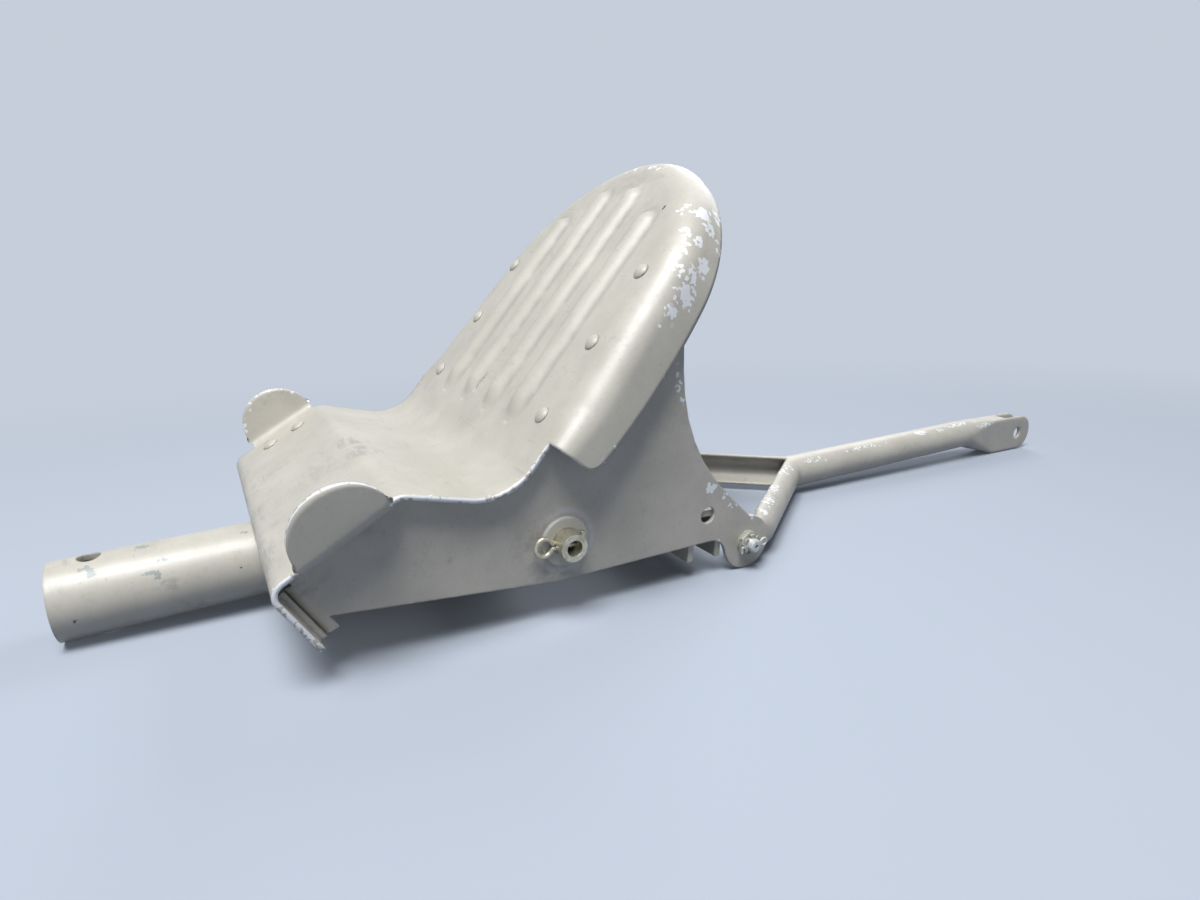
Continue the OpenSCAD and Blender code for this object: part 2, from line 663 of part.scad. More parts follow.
module right_link_bolt() color(plated) at_pivot() at_lug() difference() {
    union() {
        along_y(bolt_d, -nut_out - bolt_end, -bolt_seat);
        translate([0, -bolt_seat, 0]) rotate([-90, 0, 0]) hex_prism(hex_flats, bolt_head_h);
    }
    translate([0, link_cotter_y, 0]) along_x(link_cotter_wire + 2 * drilled_fit, -bolt_d, bolt_d);
}

module left_link_bolt() mirror([0, 1, 0]) right_link_bolt();

module right_link_nut() color(plated) at_pivot() at_lug() difference() {
    translate([0, -nut_out, 0]) rotate([-90, 0, 0]) hex_prism(hex_flats, nut_h);
    along_y(bolt_hole_d, -nut_out - cut, -nut_out + nut_h + cut);
    for (k = [0:2]) rotate([0, 60 * k, 0])
        translate([-hex_flats, -nut_out - cut, -link_cotter_wire / 2 - drilled_fit])
            cube([2 * hex_flats, cut + nut_slot, link_cotter_wire + 2 * drilled_fit]);
}

module left_link_nut() mirror([0, 1, 0]) right_link_nut();

module link_bolt_washers() color(plated) at_pivot() at_lug() both_sides() translate([0, plate_half, 0])
    rotate([-90, 0, 0]) washer(bolt_washer_d, bolt_hole_d, bolt_washer_t);

module link_cotters() color(plated) at_pivot() at_lug() both_sides() translate([0, link_cotter_y, 0])
    rotate([0, 180, 0]) cotter(link_cotter_wire, hex_flats, 1.6 * link_cotter_wire);

module link_bushes() color(bronze) at_pivot() at_lug() both_sides() difference() {
    along_y(link_bush_od, bolt_seat, plate_in);
    along_y(bolt_hole_d, bolt_seat - cut, plate_in + cut);
}

// Brake link

// Plan wedge behind the mitre where the two legs meet the tube
module fork_wedge() translate([fork_x, 0, lug_z - 2 * link_od]) linear_extrude(4 * link_od)
    polygon([[0, 0], [2 * link_od * tan(leg_angle / 2), 2 * link_od], [-2 * fork_reach, 2 * link_od],
             [-2 * fork_reach, -2 * link_od], [2 * link_od * tan(leg_angle / 2), -2 * link_od]]);

module clevis_end() extrude_y(-clevis_w / 2, clevis_w / 2) translate([0, clevis_z]) {
    polygon(concat([[flat_x, clevis_half], [flat_x, -clevis_half]],
                   arc([clevis_x + clevis_tip, 0], clevis_half, -90, 90, round_steps)));
}

// Thin ends of the flattened stretch, a little inside the tube and the flat end that they run into
module link_slice(d, x, z) translate([x, 0, z]) rotate([0, 90, 0])
    cylinder(d = d - 2 * drilled_fit, h = slice, $fn = 32);
module slab_slice(w, half, x) translate([x, -w / 2 + drilled_fit, clevis_z - half + drilled_fit])
    cube([slice, w - 2 * drilled_fit, 2 * (half - drilled_fit)]);
module on_link_axis() translate([fork_x, 0, lug_z]) rotate([0, -link_rise, 0]) children();

module link_tube() color(paint) at_pivot() difference() {
    union() {
        on_link_axis() along_x(link_od, 0, tube_run);
        hull() {
            link_slice(link_od, tube_end_x - slice, tube_end_z);
            slab_slice(clevis_w, clevis_half, flat_x);
        }
        clevis_end();
    }
    fork_wedge();
    on_link_axis() along_x(link_od - 2 * link_wall, -link_od, tube_run);
    hull() {
        link_slice(link_od - 2 * link_wall, tube_end_x - slice, tube_end_z);
        slab_slice(clevis_slot, clevis_half - link_wall, flat_x);
    }
    translate([flat_x, -clevis_slot / 2, clevis_z - clevis_half + link_wall])
        cube([clevis_flat, clevis_slot, 2 * (clevis_half - link_wall)]);
    translate([clevis_x - clevis_depth, -clevis_slot / 2, clevis_z - 2 * clevis_half])
        cube([4 * clevis_half, clevis_slot, 4 * clevis_half]);
    translate([clevis_x, 0, clevis_z]) along_y(clevis_hole_d, -clevis_w, clevis_w);
}

module right_link_leg() color(paint) at_pivot() difference() {
    union() {
        translate([fork_x, 0, lug_z]) rotate([0, 0, 180 + leg_angle]) intersection() {
            difference() {
                along_x(link_od, -link_od, leg_run);
                along_x(link_od - 2 * link_wall, -link_od - cut, leg_run + cut);
            }
            translate([-2 * link_od, 0, -link_od]) cube([leg_run + 4 * link_od, link_od, 2 * link_od]);
        }
        hull() {
            translate([fork_x, 0, lug_z]) rotate([0, 0, 180 + leg_angle]) intersection() {
                link_slice(link_od, leg_run - slice, 0);
                translate([0, drilled_fit, -link_od]) cube([2 * leg_run, link_od, 2 * link_od]);
            }
            translate([lug_x + strap_from, -lug_in - leg_lug_t + drilled_fit, lug_z - strap_half])
                cube([slice, leg_lug_t - 2 * drilled_fit, 2 * strap_half]);
        }
        at_lug() along_y(2 * leg_lug_radius, -lug_in - leg_lug_t, -lug_in);
    }
    at_lug() along_y(link_bush_od + 2 * running_fit, -plate_half, -lug_in + link_od);
    difference() {
        translate([fork_x - link_od, -2 * link_od, lug_z - link_od])
            cube([3 * link_od, 3 * link_od, 2 * link_od]);
        fork_wedge();
    }
}

module left_link_leg() mirror([0, 1, 0]) right_link_leg();

arm_tube();
arm_cross_tube();
left_pivot_bush();
right_pivot_bush();
pedal_plate();
left_side_plate();
right_side_plate();
front_doubler();
rear_tie();
toe_rivets();
heel_rivets();
front_lip_rivets();
pivot_pin();
pivot_washers();
pivot_cotter();
left_link_bolt();
right_link_bolt();
left_link_nut();
right_link_nut();
link_bolt_washers();
link_cotters();
link_bushes();
link_tube();
left_link_leg();
right_link_leg();
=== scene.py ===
"""Worn enamelled toe-brake rudder pedal with its arm stub and brake link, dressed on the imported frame."""
import json
import math

import bmesh
import bpy
from mathutils import Matrix, Vector


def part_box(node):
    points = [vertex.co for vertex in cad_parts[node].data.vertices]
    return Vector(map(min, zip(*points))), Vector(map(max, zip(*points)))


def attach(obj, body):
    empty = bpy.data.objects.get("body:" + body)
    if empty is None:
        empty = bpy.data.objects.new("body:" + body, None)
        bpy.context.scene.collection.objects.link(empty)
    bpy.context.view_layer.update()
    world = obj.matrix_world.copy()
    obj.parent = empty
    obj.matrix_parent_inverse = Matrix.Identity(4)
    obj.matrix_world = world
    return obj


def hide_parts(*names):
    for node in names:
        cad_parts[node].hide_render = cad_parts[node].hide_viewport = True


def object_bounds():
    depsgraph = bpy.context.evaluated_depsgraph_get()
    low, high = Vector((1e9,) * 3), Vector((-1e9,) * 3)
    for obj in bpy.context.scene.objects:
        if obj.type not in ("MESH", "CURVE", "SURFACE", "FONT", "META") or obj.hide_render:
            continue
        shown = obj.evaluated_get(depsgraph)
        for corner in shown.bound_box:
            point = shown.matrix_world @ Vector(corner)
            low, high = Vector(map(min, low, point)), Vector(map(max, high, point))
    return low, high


MM = 0.001

# Photograph's camera: its eye in millimetres from the pivot, its angles in degrees, its focal length
# in pixels of the photograph, its sensor's width in millimetres and its near clip in metres
EYE_FROM_PIVOT = (-98.46, -248.43, 90.30)
VIEW_AZIMUTH = 30.84
VIEW_DOWN = 15.57
VIEW_ROLL = 1.31
FOCAL_PIXELS = 682.7
IMAGE_WIDTH = 1200
SENSOR = 36.0
CLIP_START = 0.01

# Formed pedal sheet, in millimetres from the pivot and degrees
SHEET = 1.6
HEEL_HALF = 66.6
HEEL_ANGLE = 31.5
HEEL_CORNER = Vector((-90.9, 4.3))
FRONT_LIP = 24.0
FRONT_BEND = 5.0
HEEL_LENGTH = 42.5
ARCH_FALL = 12.5
ARCH_RADIUS = 20.0
CREST_RADIUS = 7.0
TOE_BASE = Vector((-3.7, 41.2))
TOE_ANGLE = 51.2
FLARE_START = 10.0
LEAST_LIP = 0.3
ARM_OD = 25.4
ARM_PITCH = 3.0
PIVOT_RISE = 7.7
SADDLE_GAP = 0.3

# Toe pan: its flat, the roll and lip of its rim, and its beads
PAN_START = 7.0
PAN_LENGTH = 124.0
PAN_END_R = 66.0
PAN_TAPER = 6.5
PAN_BEND = 7.0
ROLL_REACH = 12.0
ROLL_DROP = 9.6
ROLL_FADE = 15.0
LIP_FRONT = 16.5
LIP_MIDDLE = 21.0
LIP_TOP = 10.5
LIP_ROUND = 5.0
BEAD_COUNT = 4
BEAD_HALF = 5.8
BEAD_HEIGHT = 2.8
BEAD_POWER = 1.4
BEAD_PITCH = 21.8
BEAD_START = -2.0
BEAD_FADE = 11.0
BEAD_OUTER_END = 80.0
BEAD_INNER_END = 93.0
FOOT_DIRT_SHADE_SPREAD = 0.45

# Heel ears
EAR_RADIUS = 14.4
EAR_MIDDLE = 25.4
EAR_HEIGHT = 16.5
EAR_TURN = 85.0
EAR_BEND = 3.0
EAR_ROOT = 1.0
LEAST_WALL = 0.02

# Rows and columns of the sheet's mesh, the spacing of its path and the reach of its edges' wear
FRONT_STEPS = 10
CREST_STEPS = 10
ARCH_STEPS = 24
PATH_SPACING = 1.5
WEDGE_COLUMNS = 6
SADDLE_COLUMNS = 7
RIM_COLUMNS = 50
EAR_COLUMNS = 32
EAR_ROWS = 8
LIP_ROWS = 10
FOOT_ROWS = 4
SIDE_ROWS = 48
SIDE_POWER = 1.25
ARC_ROWS = 72
BEND_ROWS = 10
WALL_ROWS = 8
SAME = 0.001
SHEET_MERGE = 0.004
SLIVER_SHARE = 0.2
EDGE_REACH = 3.0

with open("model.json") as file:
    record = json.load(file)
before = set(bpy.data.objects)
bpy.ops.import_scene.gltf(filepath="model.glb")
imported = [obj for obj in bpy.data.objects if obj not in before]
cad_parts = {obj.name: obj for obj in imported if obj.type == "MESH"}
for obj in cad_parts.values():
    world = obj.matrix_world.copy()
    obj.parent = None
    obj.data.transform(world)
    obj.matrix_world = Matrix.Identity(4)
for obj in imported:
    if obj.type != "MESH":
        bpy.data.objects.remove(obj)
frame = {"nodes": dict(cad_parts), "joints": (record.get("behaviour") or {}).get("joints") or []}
cad_low, cad_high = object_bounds()
joints = {joint["name"]: Vector(joint["pos_m"]) for joint in frame["joints"]}
PIVOT = joints["brake_pivot"]
LUG = joints["link_pivot"]


def placed(name, data):
    """A new object of the scene that holds the given data."""
    made = bpy.data.objects.new(name, data)
    bpy.context.scene.collection.objects.link(made)
    return made


def smooth(mesh):
    mesh.polygons.foreach_set("use_smooth", [True] * len(mesh.polygons))


def turned(angle):
    """Unit vector in the XZ plane at an angle above +X, and the unit vector a quarter turn above it."""
    a = math.radians(angle)
    return Vector((math.cos(a), math.sin(a))), Vector((-math.sin(a), math.cos(a)))


HEEL_DIR, HEEL_UP = turned(HEEL_ANGLE)
TOE_DIR, TOE_UP = turned(TOE_ANGLE)


def fillet(before, corner, after, radius, steps):
    """Points of the arc that rounds a corner of a path."""
    u = (before - corner).normalized()
    v = (after - corner).normalized()
    half = math.acos(max(-1.0, min(1.0, u.dot(v)))) / 2
    middle = corner + (u + v).normalized() * radius / math.sin(half)
    first = corner + u * radius / math.tan(half) - middle
    turn = math.pi - 2 * half
    way = -1 if u.x * v.y - u.y * v.x > 0 else 1
    start = math.atan2(first.y, first.x)
    angles = [start + way * turn * k / steps for k in range(steps + 1)]
    return [middle + radius * Vector((math.cos(a), math.sin(a))) for a in angles]


def filled(a, b):
    """Points strictly between a and b, about the path's spacing apart."""
    count = max(1, int((b - a).length / PATH_SPACING))
    return [a.lerp(b, k / count) for k in range(1, count)]


class Surface:
    """Collects grids of points in millimetres from the pivot, with wear and with dirt and painted shade at
    each, into one mesh.
    """

    def __init__(self):
        self.points = []
        self.wear = []
        self.dirt_and_shade = []
        self.faces = []

    def grid(self, rows, wear=None, dirt_and_shade=None, flip=False):
        base = len(self.points)
        across = len(rows[0])
        clean = [[0.0] * across] * len(rows)
        for row, worn, row_dirt_and_shade in zip(rows, wear or clean, dirt_and_shade or clean):
            self.points += row
            self.wear += worn
            self.dirt_and_shade += row_dirt_and_shade
        for i in range(len(rows) - 1):
            for j in range(across - 1):
                a = base + i * across + j
                face = (a, a + 1, a + across + 1, a + across)
                self.faces.append(face[::-1] if flip else face)

    def make(self, name):
        mesh = bpy.data.meshes.new(name)
        mesh.from_pydata([PIVOT + Vector(p) * MM for p in self.points], [], self.faces)
        # The second layer holds dirt and painted shade along the beads' feet
        for layer, values in (("wear", self.wear), ("dirt_and_shade", self.dirt_and_shade)):
            mesh.attributes.new(layer, "FLOAT", "POINT").data.foreach_set("value", values)
        edit = bmesh.new()
        edit.from_mesh(mesh)
        bmesh.ops.remove_doubles(edit, verts=edit.verts, dist=SHEET_MERGE * MM)
        bmesh.ops.dissolve_degenerate(edit, edges=edit.edges, dist=SLIVER_SHARE * SHEET_MERGE * MM)
        edit.to_mesh(mesh)
        edit.free()
        smooth(mesh)
        return placed(name, mesh)


def in_heel(along, y, up):
    """Point along and above the heel's top, from its front corner."""
    p = HEEL_CORNER + along * HEEL_DIR + up * HEEL_UP
    return (p.x, y, p.y)


def in_toe(along, y, up):
    """Point along and above the toe pan's flat, from its base."""
    p = TOE_BASE + along * TOE_DIR + up * TOE_UP
    return (p.x, y, p.y)


# Columns of the sheet as shares of its half width, shared by the heel, the arch and the toe pan
pan_middle = PAN_LENGTH - PAN_START - PAN_END_R
pan_flat = PAN_END_R - PAN_BEND
taper_sin = math.sin(math.radians(PAN_TAPER))
taper_cos = math.cos(math.radians(PAN_TAPER))


def mouth_half(radius):
    """Half width at the pan's open end of the line that runs a radius outside the pan's middle line."""
    return ((pan_middle + PAN_START) * taper_sin + radius) / taper_cos


seam_half = mouth_half(pan_flat)
saddle = ARM_OD / 2 + SADDLE_GAP
wedge_end = mouth_half(0) / seam_half
saddle_share = saddle / HEEL_HALF
wedge_shares = [wedge_end * k / WEDGE_COLUMNS for k in range(WEDGE_COLUMNS)]
rim_shares = [wedge_end + (saddle_share - wedge_end) * k / SADDLE_COLUMNS for k in range(SADDLE_COLUMNS)]
rim_shares += [saddle_share + (1 - saddle_share) * k / RIM_COLUMNS for k in range(RIM_COLUMNS + 1)]
half_shares = wedge_shares + rim_shares
all_shares = [-s for s in reversed(half_shares[1:])] + half_shares

# Side view of the sheet's top from the front bend to the toe, with the heel's stations at the ears' ends
lip_foot = HEEL_CORNER - FRONT_LIP * HEEL_UP
crest = HEEL_CORNER + HEEL_LENGTH * HEEL_DIR
arch_dir = turned(-ARCH_FALL)[0]


def crossing(p, u, q, v):
    """Where the line from p along u meets the line from q along v."""
    w = q - p
    return p + u * (w.x * v.y - w.y * v.x) / (u.x * v.y - u.y * v.x)


arch_corner = crossing(crest, arch_dir, TOE_BASE, TOE_DIR)
toe_seam = TOE_BASE - PAN_START * TOE_DIR
front_arc = fillet(lip_foot, HEEL_CORNER, crest, FRONT_BEND, FRONT_STEPS)
crest_arc = fillet(HEEL_CORNER, crest, arch_corner, CREST_RADIUS, CREST_STEPS)
arch_arc = fillet(crest, arch_corner, toe_seam, ARCH_RADIUS, ARCH_STEPS)
ear_stations = [EAR_MIDDLE - EAR_RADIUS * math.cos(math.pi * k / EAR_COLUMNS) for k in range(EAR_COLUMNS + 1)]
heel_points = [HEEL_CORNER + a * HEEL_DIR for a in ear_stations]
path = front_arc + filled(front_arc[-1], heel_points[0]) + heel_points + crest_arc[1:]
path += filled(crest_arc[-1], arch_arc[0]) + arch_arc + filled(arch_arc[-1], toe_seam) + [toe_seam]
flare_from = crest.x + FLARE_START


def half_width(x):
    """Half width of the sheet at a distance from the pivot along X: even at the heel, flared to the toe."""
    share = max(0.0, (x - flare_from) / (toe_seam.x - flare_from))
    return HEEL_HALF + share * share * (seam_half - HEEL_HALF)


def edge_wear(distance):
    """Wear that fades from 1 at an edge to 0 at its reach in millimetres."""
    return max(0.0, 1 - distance / EDGE_REACH)


# Notch of the front lip over the arm tube
arm_up = turned(ARM_PITCH)[1]


def saddle_height(y):
    """Height of the saddle over the arm's middle line."""
    return math.sqrt(max(0.0, saddle * saddle - y * y))


def notch_depth(y):
    """Depth of the front lip over the arm, from the heel's corner down to the saddle."""
    depth = (HEEL_CORNER.dot(arm_up) + PIVOT_RISE - saddle_height(y)) / HEEL_UP.dot(arm_up)
    return max(FRONT_BEND + LEAST_LIP, depth)


def clear_of_arm(p):
    """The point itself, or the point above it on the saddle where it would sink into the arm."""
    side_view = Vector((p[0], p[2]))
    height = side_view.dot(arm_up) + PIVOT_RISE
    wanted = saddle_height(p[1])
    if abs(p[1]) < saddle and 0 < height < wanted:
        side_view += (wanted - height) * arm_up
    return (side_view.x, p[1], side_view.y)


# Heel and arch, then the front lip beside the arm and over it
sheet = Surface()
rows = []
wear = []
for p in path:
    half = half_width(p.x)
    by_ear = heel_points[0].x <= p.x <= heel_points[-1].x
    rows.append([clear_of_arm((p.x, s * half, p.y)) for s in all_shares])
    wear.append([0.0 if by_ear else edge_wear(half * (1 - abs(s))) for s in all_shares])
sheet.grid(rows, wear, flip=True)

lip_columns = [s * HEEL_HALF for s in all_shares]
side_depth = notch_depth(saddle)
side_rows = [FRONT_BEND + (side_depth - FRONT_BEND) * k / LIP_ROWS for k in range(LIP_ROWS + 1)]
side_rows += [side_depth + (FRONT_LIP - side_depth) * k / FOOT_ROWS for k in range(1, FOOT_ROWS + 1)]
for part in ([y for y in lip_columns if y <= SAME - saddle], [y for y in lip_columns if y >= saddle - SAME]):
    rows = [[in_heel(0, y, -down) for y in part] for down in side_rows]
    wear = [[edge_wear(min(FRONT_LIP - down, HEEL_HALF - abs(y))) for y in part] for down in side_rows]
    sheet.grid(rows, wear)
part = [y for y in lip_columns if abs(y) <= saddle + SAME]
rows = []
wear = []
for k in range(LIP_ROWS + 1):
    falls = [(notch_depth(y) - FRONT_BEND) * k / LIP_ROWS for y in part]
    rows.append([clear_of_arm(in_heel(0, y, -FRONT_BEND - fall)) for y, fall in zip(part, falls)])
    wear.append([edge_wear(notch_depth(y) - FRONT_BEND - fall) for y, fall in zip(part, falls)])
sheet.grid(rows, wear)

# Ears, bent up from the heel's sides, each a grid of columns that end on the ear's round
for side in (-1, 1):
    columns = []
    values = []
    for along in ear_stations:
        offset = along - EAR_MIDDLE
        top = EAR_HEIGHT - EAR_RADIUS + math.sqrt(max(0.0, EAR_RADIUS ** 2 - offset * offset))
        lean = min(math.radians(EAR_TURN), math.acos(max(-1.0, 1 - top / EAR_BEND)))
        line = [(HEEL_HALF, 0.0)]
        for k in range(EAR_ROWS + 1):
            a = lean * k / EAR_ROWS
            line.append((HEEL_HALF + EAR_ROOT + EAR_BEND * math.sin(a), EAR_BEND * (1 - math.cos(a))))
        foot_y, foot_z = line[-1]
        rise = max(LEAST_WALL, (top - foot_z) / math.sin(lean))
        for k in range(1, EAR_ROWS + 1):
            up = rise * k / EAR_ROWS
            line.append((foot_y + up * math.cos(lean), foot_z + up * math.sin(lean)))
        columns.append([in_heel(along, side * y, z) for y, z in line])
        values.append([edge_wear(min(top - z, EAR_RADIUS - abs(offset))) for y, z in line])
    sheet.grid(columns, values, flip=side > 0)


# Toe pan: flat with raised beads, rolled over its rim into a lip whose depth follows a parabola
def bead_share(u, y):
    """Distance from the nearest bead's middle line, as a share of the bead's half width."""
    shares = []
    for k in range(BEAD_COUNT):
        end = BEAD_OUTER_END if k in (0, BEAD_COUNT - 1) else BEAD_INNER_END
        middle_line = (k - (BEAD_COUNT - 1) / 2) * BEAD_PITCH
        shares.append(math.hypot(u - min(max(u, BEAD_START), end), y - middle_line) / BEAD_HALF)
    return min(shares)


def bead_fade(u):
    """0 at the beads' lower ends, rising smoothly to 1 further up."""
    share = min(1.0, max(0.0, (u - BEAD_START + BEAD_HALF) / BEAD_FADE))
    return share * share * (3 - 2 * share)


def bead_rise(u, y):
    off = bead_share(u, y)
    return bead_fade(u) * BEAD_HEIGHT * (1 - off * off) ** BEAD_POWER if off < 1 else 0.0


def bead_foot_dirt_and_shade(u, y):
    """Dirt and painted shade that lie along a bead's foot and thin out to both sides and to its lower end."""
    return bead_fade(u) * max(0.0, 1 - abs(bead_share(u, y) - 1) / FOOT_DIRT_SHADE_SPREAD)


def rim_drop(u, radius):
    """How far the pan's top lies below its flat: a soft roll to the rim that starts
    as a round bend at the mouth."""
    bend = max(0.0, (radius - pan_flat) / PAN_BEND)
    roll = max(0.0, (radius - PAN_END_R + ROLL_REACH) / ROLL_REACH)
    softness = min(1.0, (u + PAN_START) / ROLL_FADE)
    drops = [drop * (1 - math.sqrt(max(0.0, 1 - share * share)))
             for drop, share in ((PAN_BEND, bend), (ROLL_DROP, roll))]
    return drops[0] + (drops[1] - drops[0]) * softness


def lip_depth(u):
    """Depth of the pan's lip below its flat, rounded off at the mouth."""
    share = (u + PAN_START) / PAN_LENGTH
    bulge = 4 * LIP_MIDDLE - 2 * LIP_FRONT - 2 * LIP_TOP
    depth = LIP_FRONT * (1 - share) + LIP_TOP * share + bulge * share * (1 - share)
    ahead = LIP_ROUND - (u + PAN_START)
    return depth - (LIP_ROUND - math.sqrt(LIP_ROUND ** 2 - ahead * ahead) if ahead > 0 else 0.0)


def side_share(i):
    """How far up the pan's straight side a row starts, from 0 at the mouth to 1 at the round end."""
    return (i / SIDE_ROWS) ** SIDE_POWER


def pan_place(i, radius):
    """Place along and across the pan where one of its rows is a radius out from its middle line."""
    if i < SIDE_ROWS:
        low = Vector((-PAN_START, mouth_half(radius)))
        high = Vector((pan_middle + radius * taper_sin, radius * taper_cos))
        return tuple(low.lerp(high, side_share(i)))
    angle = math.radians(90 - PAN_TAPER) * (1 - (i - SIDE_ROWS) / ARC_ROWS)
    return pan_middle + radius * math.cos(angle), radius * math.sin(angle)


rim_radii = [s * seam_half * taper_cos - (pan_middle + PAN_START) * taper_sin for s in rim_shares]
bend_radii = [pan_flat + PAN_BEND * math.sin(math.pi / 2 * k / BEND_ROWS) for k in range(1, BEND_ROWS + 1)]
for side in (-1, 1):
    rows = []
    wear = []
    dirt_and_shade = []
    for i in range(SIDE_ROWS + ARC_ROWS + 1):
        row = []
        foot_dirt_and_shade = []
        for radius in rim_radii:
            u, y = pan_place(i, radius)
            row.append(in_toe(u, side * y, bead_rise(u, y) - rim_drop(u, radius)))
            # Dirt and painted shade along the beads' feet
            foot_dirt_and_shade.append(bead_foot_dirt_and_shade(u, y))
        for radius in bend_radii:
            u, y = pan_place(i, radius)
            row.append(in_toe(u, side * y, -rim_drop(u, radius)))
        values = [0.0] * len(row)
        u, y = pan_place(i, PAN_END_R)
        depth = lip_depth(u)
        rim = rim_drop(u, PAN_END_R)
        for k in range(1, WALL_ROWS + 1):
            down = rim + (depth - rim) * k / WALL_ROWS
            row.append(in_toe(u, side * y, -down))
            values.append(edge_wear(min(depth - down, max(u + PAN_START, 0))))
        rows.append(row)
        wear.append(values)
        dirt_and_shade.append(foot_dirt_and_shade + [0.0] * (len(row) - len(foot_dirt_and_shade)))
    sheet.grid(rows, wear, dirt_and_shade, side > 0)
    rows = []
    for i in range(SIDE_ROWS + 1):
        share = side_share(i)
        u = -PAN_START + share * (pan_middle + PAN_START)
        half = seam_half * (1 - share)
        rows.append([in_toe(u, side * s * half, 0) for s in wedge_shares + rim_shares[:1]])
    sheet.grid(rows, flip=side > 0)

pedal_sheet = sheet.make("pedal_sheet")
thick = pedal_sheet.modifiers.new("thickness", "SOLIDIFY")
thick.thickness = SHEET * MM
thick.offset = -1
thick.use_even_offset = True
thick.material_offset_rim = 1

# Flakes of paint: how fine and how strong the wobble of their outline is, against their size, and the
# level of a spot at which a chipped place has its full strength
FLAKE_WOBBLE = 1.2
FLAKE_SHIFT = 0.7
CHIP_CORE = 0.6
BEVEL_SAMPLES = 4


class Nodes:
    """Short way to add shader nodes to a tree."""

    def __init__(self, tree):
        self.tree = tree
        self.where = self.add("ShaderNodeTexCoord").outputs["Object"]

    def add(self, kind, inputs=None, **values):
        made = self.tree.nodes.new(kind)
        for key, value in values.items():
            setattr(made, key, value)
        for key, value in (inputs or {}).items():
            self.feed(made.inputs[key], value)
        return made

    def feed(self, socket, value):
        if isinstance(value, bpy.types.NodeSocket):
            self.tree.links.new(value, socket)
        else:
            socket.default_value = value

    def noise(self, scale, detail=3.0, roughness=0.5, stretch=None):
        where = self.where
        if stretch:
            where = self.add("ShaderNodeMapping", {"Vector": where, "Scale": stretch}).outputs[0]
        return self.add("ShaderNodeTexNoise", {"Vector": where, "Scale": scale, "Detail": detail,
                                               "Roughness": roughness}).outputs["Fac"]

    def math(self, operation, a, b=0.0):
        return self.add("ShaderNodeMath", {0: a, 1: b}, operation=operation).outputs[0]

    def steps(self, value, low, high):
        """0 below low and 1 above high, with a smooth rise between."""
        made = self.add("ShaderNodeMapRange", {"Value": value, "From Min": low, "From Max": high},
                        interpolation_type="SMOOTHSTEP")
        return made.outputs["Result"]

    def mix(self, factor, a, b):
        made = self.add("ShaderNodeMix", {"Factor": factor}, data_type="RGBA")
        self.feed(made.inputs[6], a)
        self.feed(made.inputs[7], b)
        return made.outputs[2]

    def vector(self, operation, *values):
        return self.add("ShaderNodeVectorMath", dict(enumerate(values)), operation=operation).outputs

    def spot(self, centre, reach, at=None):
        """1 at a point of the part frame, 0 at its reach along X, Y and Z, and less beyond.
        The point and the reach are in millimetres."""
        off = self.vector("SUBTRACT", at or self.where, Vector(centre) * MM)[0]
        share = self.vector("DIVIDE", off, Vector(reach) * MM)[0]
        return self.math("SUBTRACT", 1.0, self.vector("LENGTH", share)["Value"])

    def flakes(self, size):
        """Angular cells about a size across, in millimetres: the middle of each, and a chance from 0 to 1."""
        metres = size * MM
        wobble = self.add("ShaderNodeTexNoise", {"Vector": self.where, "Scale": FLAKE_WOBBLE / metres,
                                                 "Detail": 3.0})
        shift = self.vector("SUBTRACT", wobble.outputs["Color"], (0.5, 0.5, 0.5))[0]
        shaken = self.vector("MULTIPLY_ADD", shift, [FLAKE_SHIFT * metres] * 3, self.where)[0]
        cells = self.add("ShaderNodeTexVoronoi", {"Vector": shaken, "Scale": 1 / metres}).outputs
        chance = self.add("ShaderNodeSeparateColor", {0: cells["Color"]}).outputs["Red"]
        return cells["Position"], chance

    def largest(self, values):
        best = values[0]
        for value in values[1:]:
            best = self.math("MAXIMUM", best, value)
        return best


class Paint(Nodes):
    """The nodes of a new material."""

    def __init__(self, name):
        self.material = bpy.data.materials.new(name)
        self.material.use_nodes = True
        super().__init__(self.material.node_tree)
        self.shader = self.tree.nodes["Principled BSDF"]

    def set(self, socket, value):
        self.feed(self.shader.inputs[socket], value)

    def rounded(self, radius):
        """Normal of the surface with its edges rounded off to a radius in millimetres."""
        return self.add("ShaderNodeBevel", {"Radius": radius * MM}, samples=BEVEL_SAMPLES).outputs[0]

    def relief(self, height, strength, distance, normal):
        """Fine relief on a normal, with its distance in millimetres."""
        bump = self.add("ShaderNodeBump", {"Strength": strength, "Distance": distance * MM, "Height": height,
                                           "Normal": normal})
        self.set("Normal", bump.outputs[0])


ENAMEL = (0.560, 0.535, 0.466, 1)
ENAMEL_DULL = (0.490, 0.467, 0.405, 1)
GRIME_AND_SHADE = (0.150, 0.155, 0.160, 1)
BARE = (0.850, 0.860, 0.880, 1)
EDGE_PALE = (0.700, 0.705, 0.700, 1)
PRIMER = (0.300, 0.340, 0.320, 1)
DARK = (0.055, 0.060, 0.068, 1)
SCUFF = (0.600, 0.605, 0.610, 1)


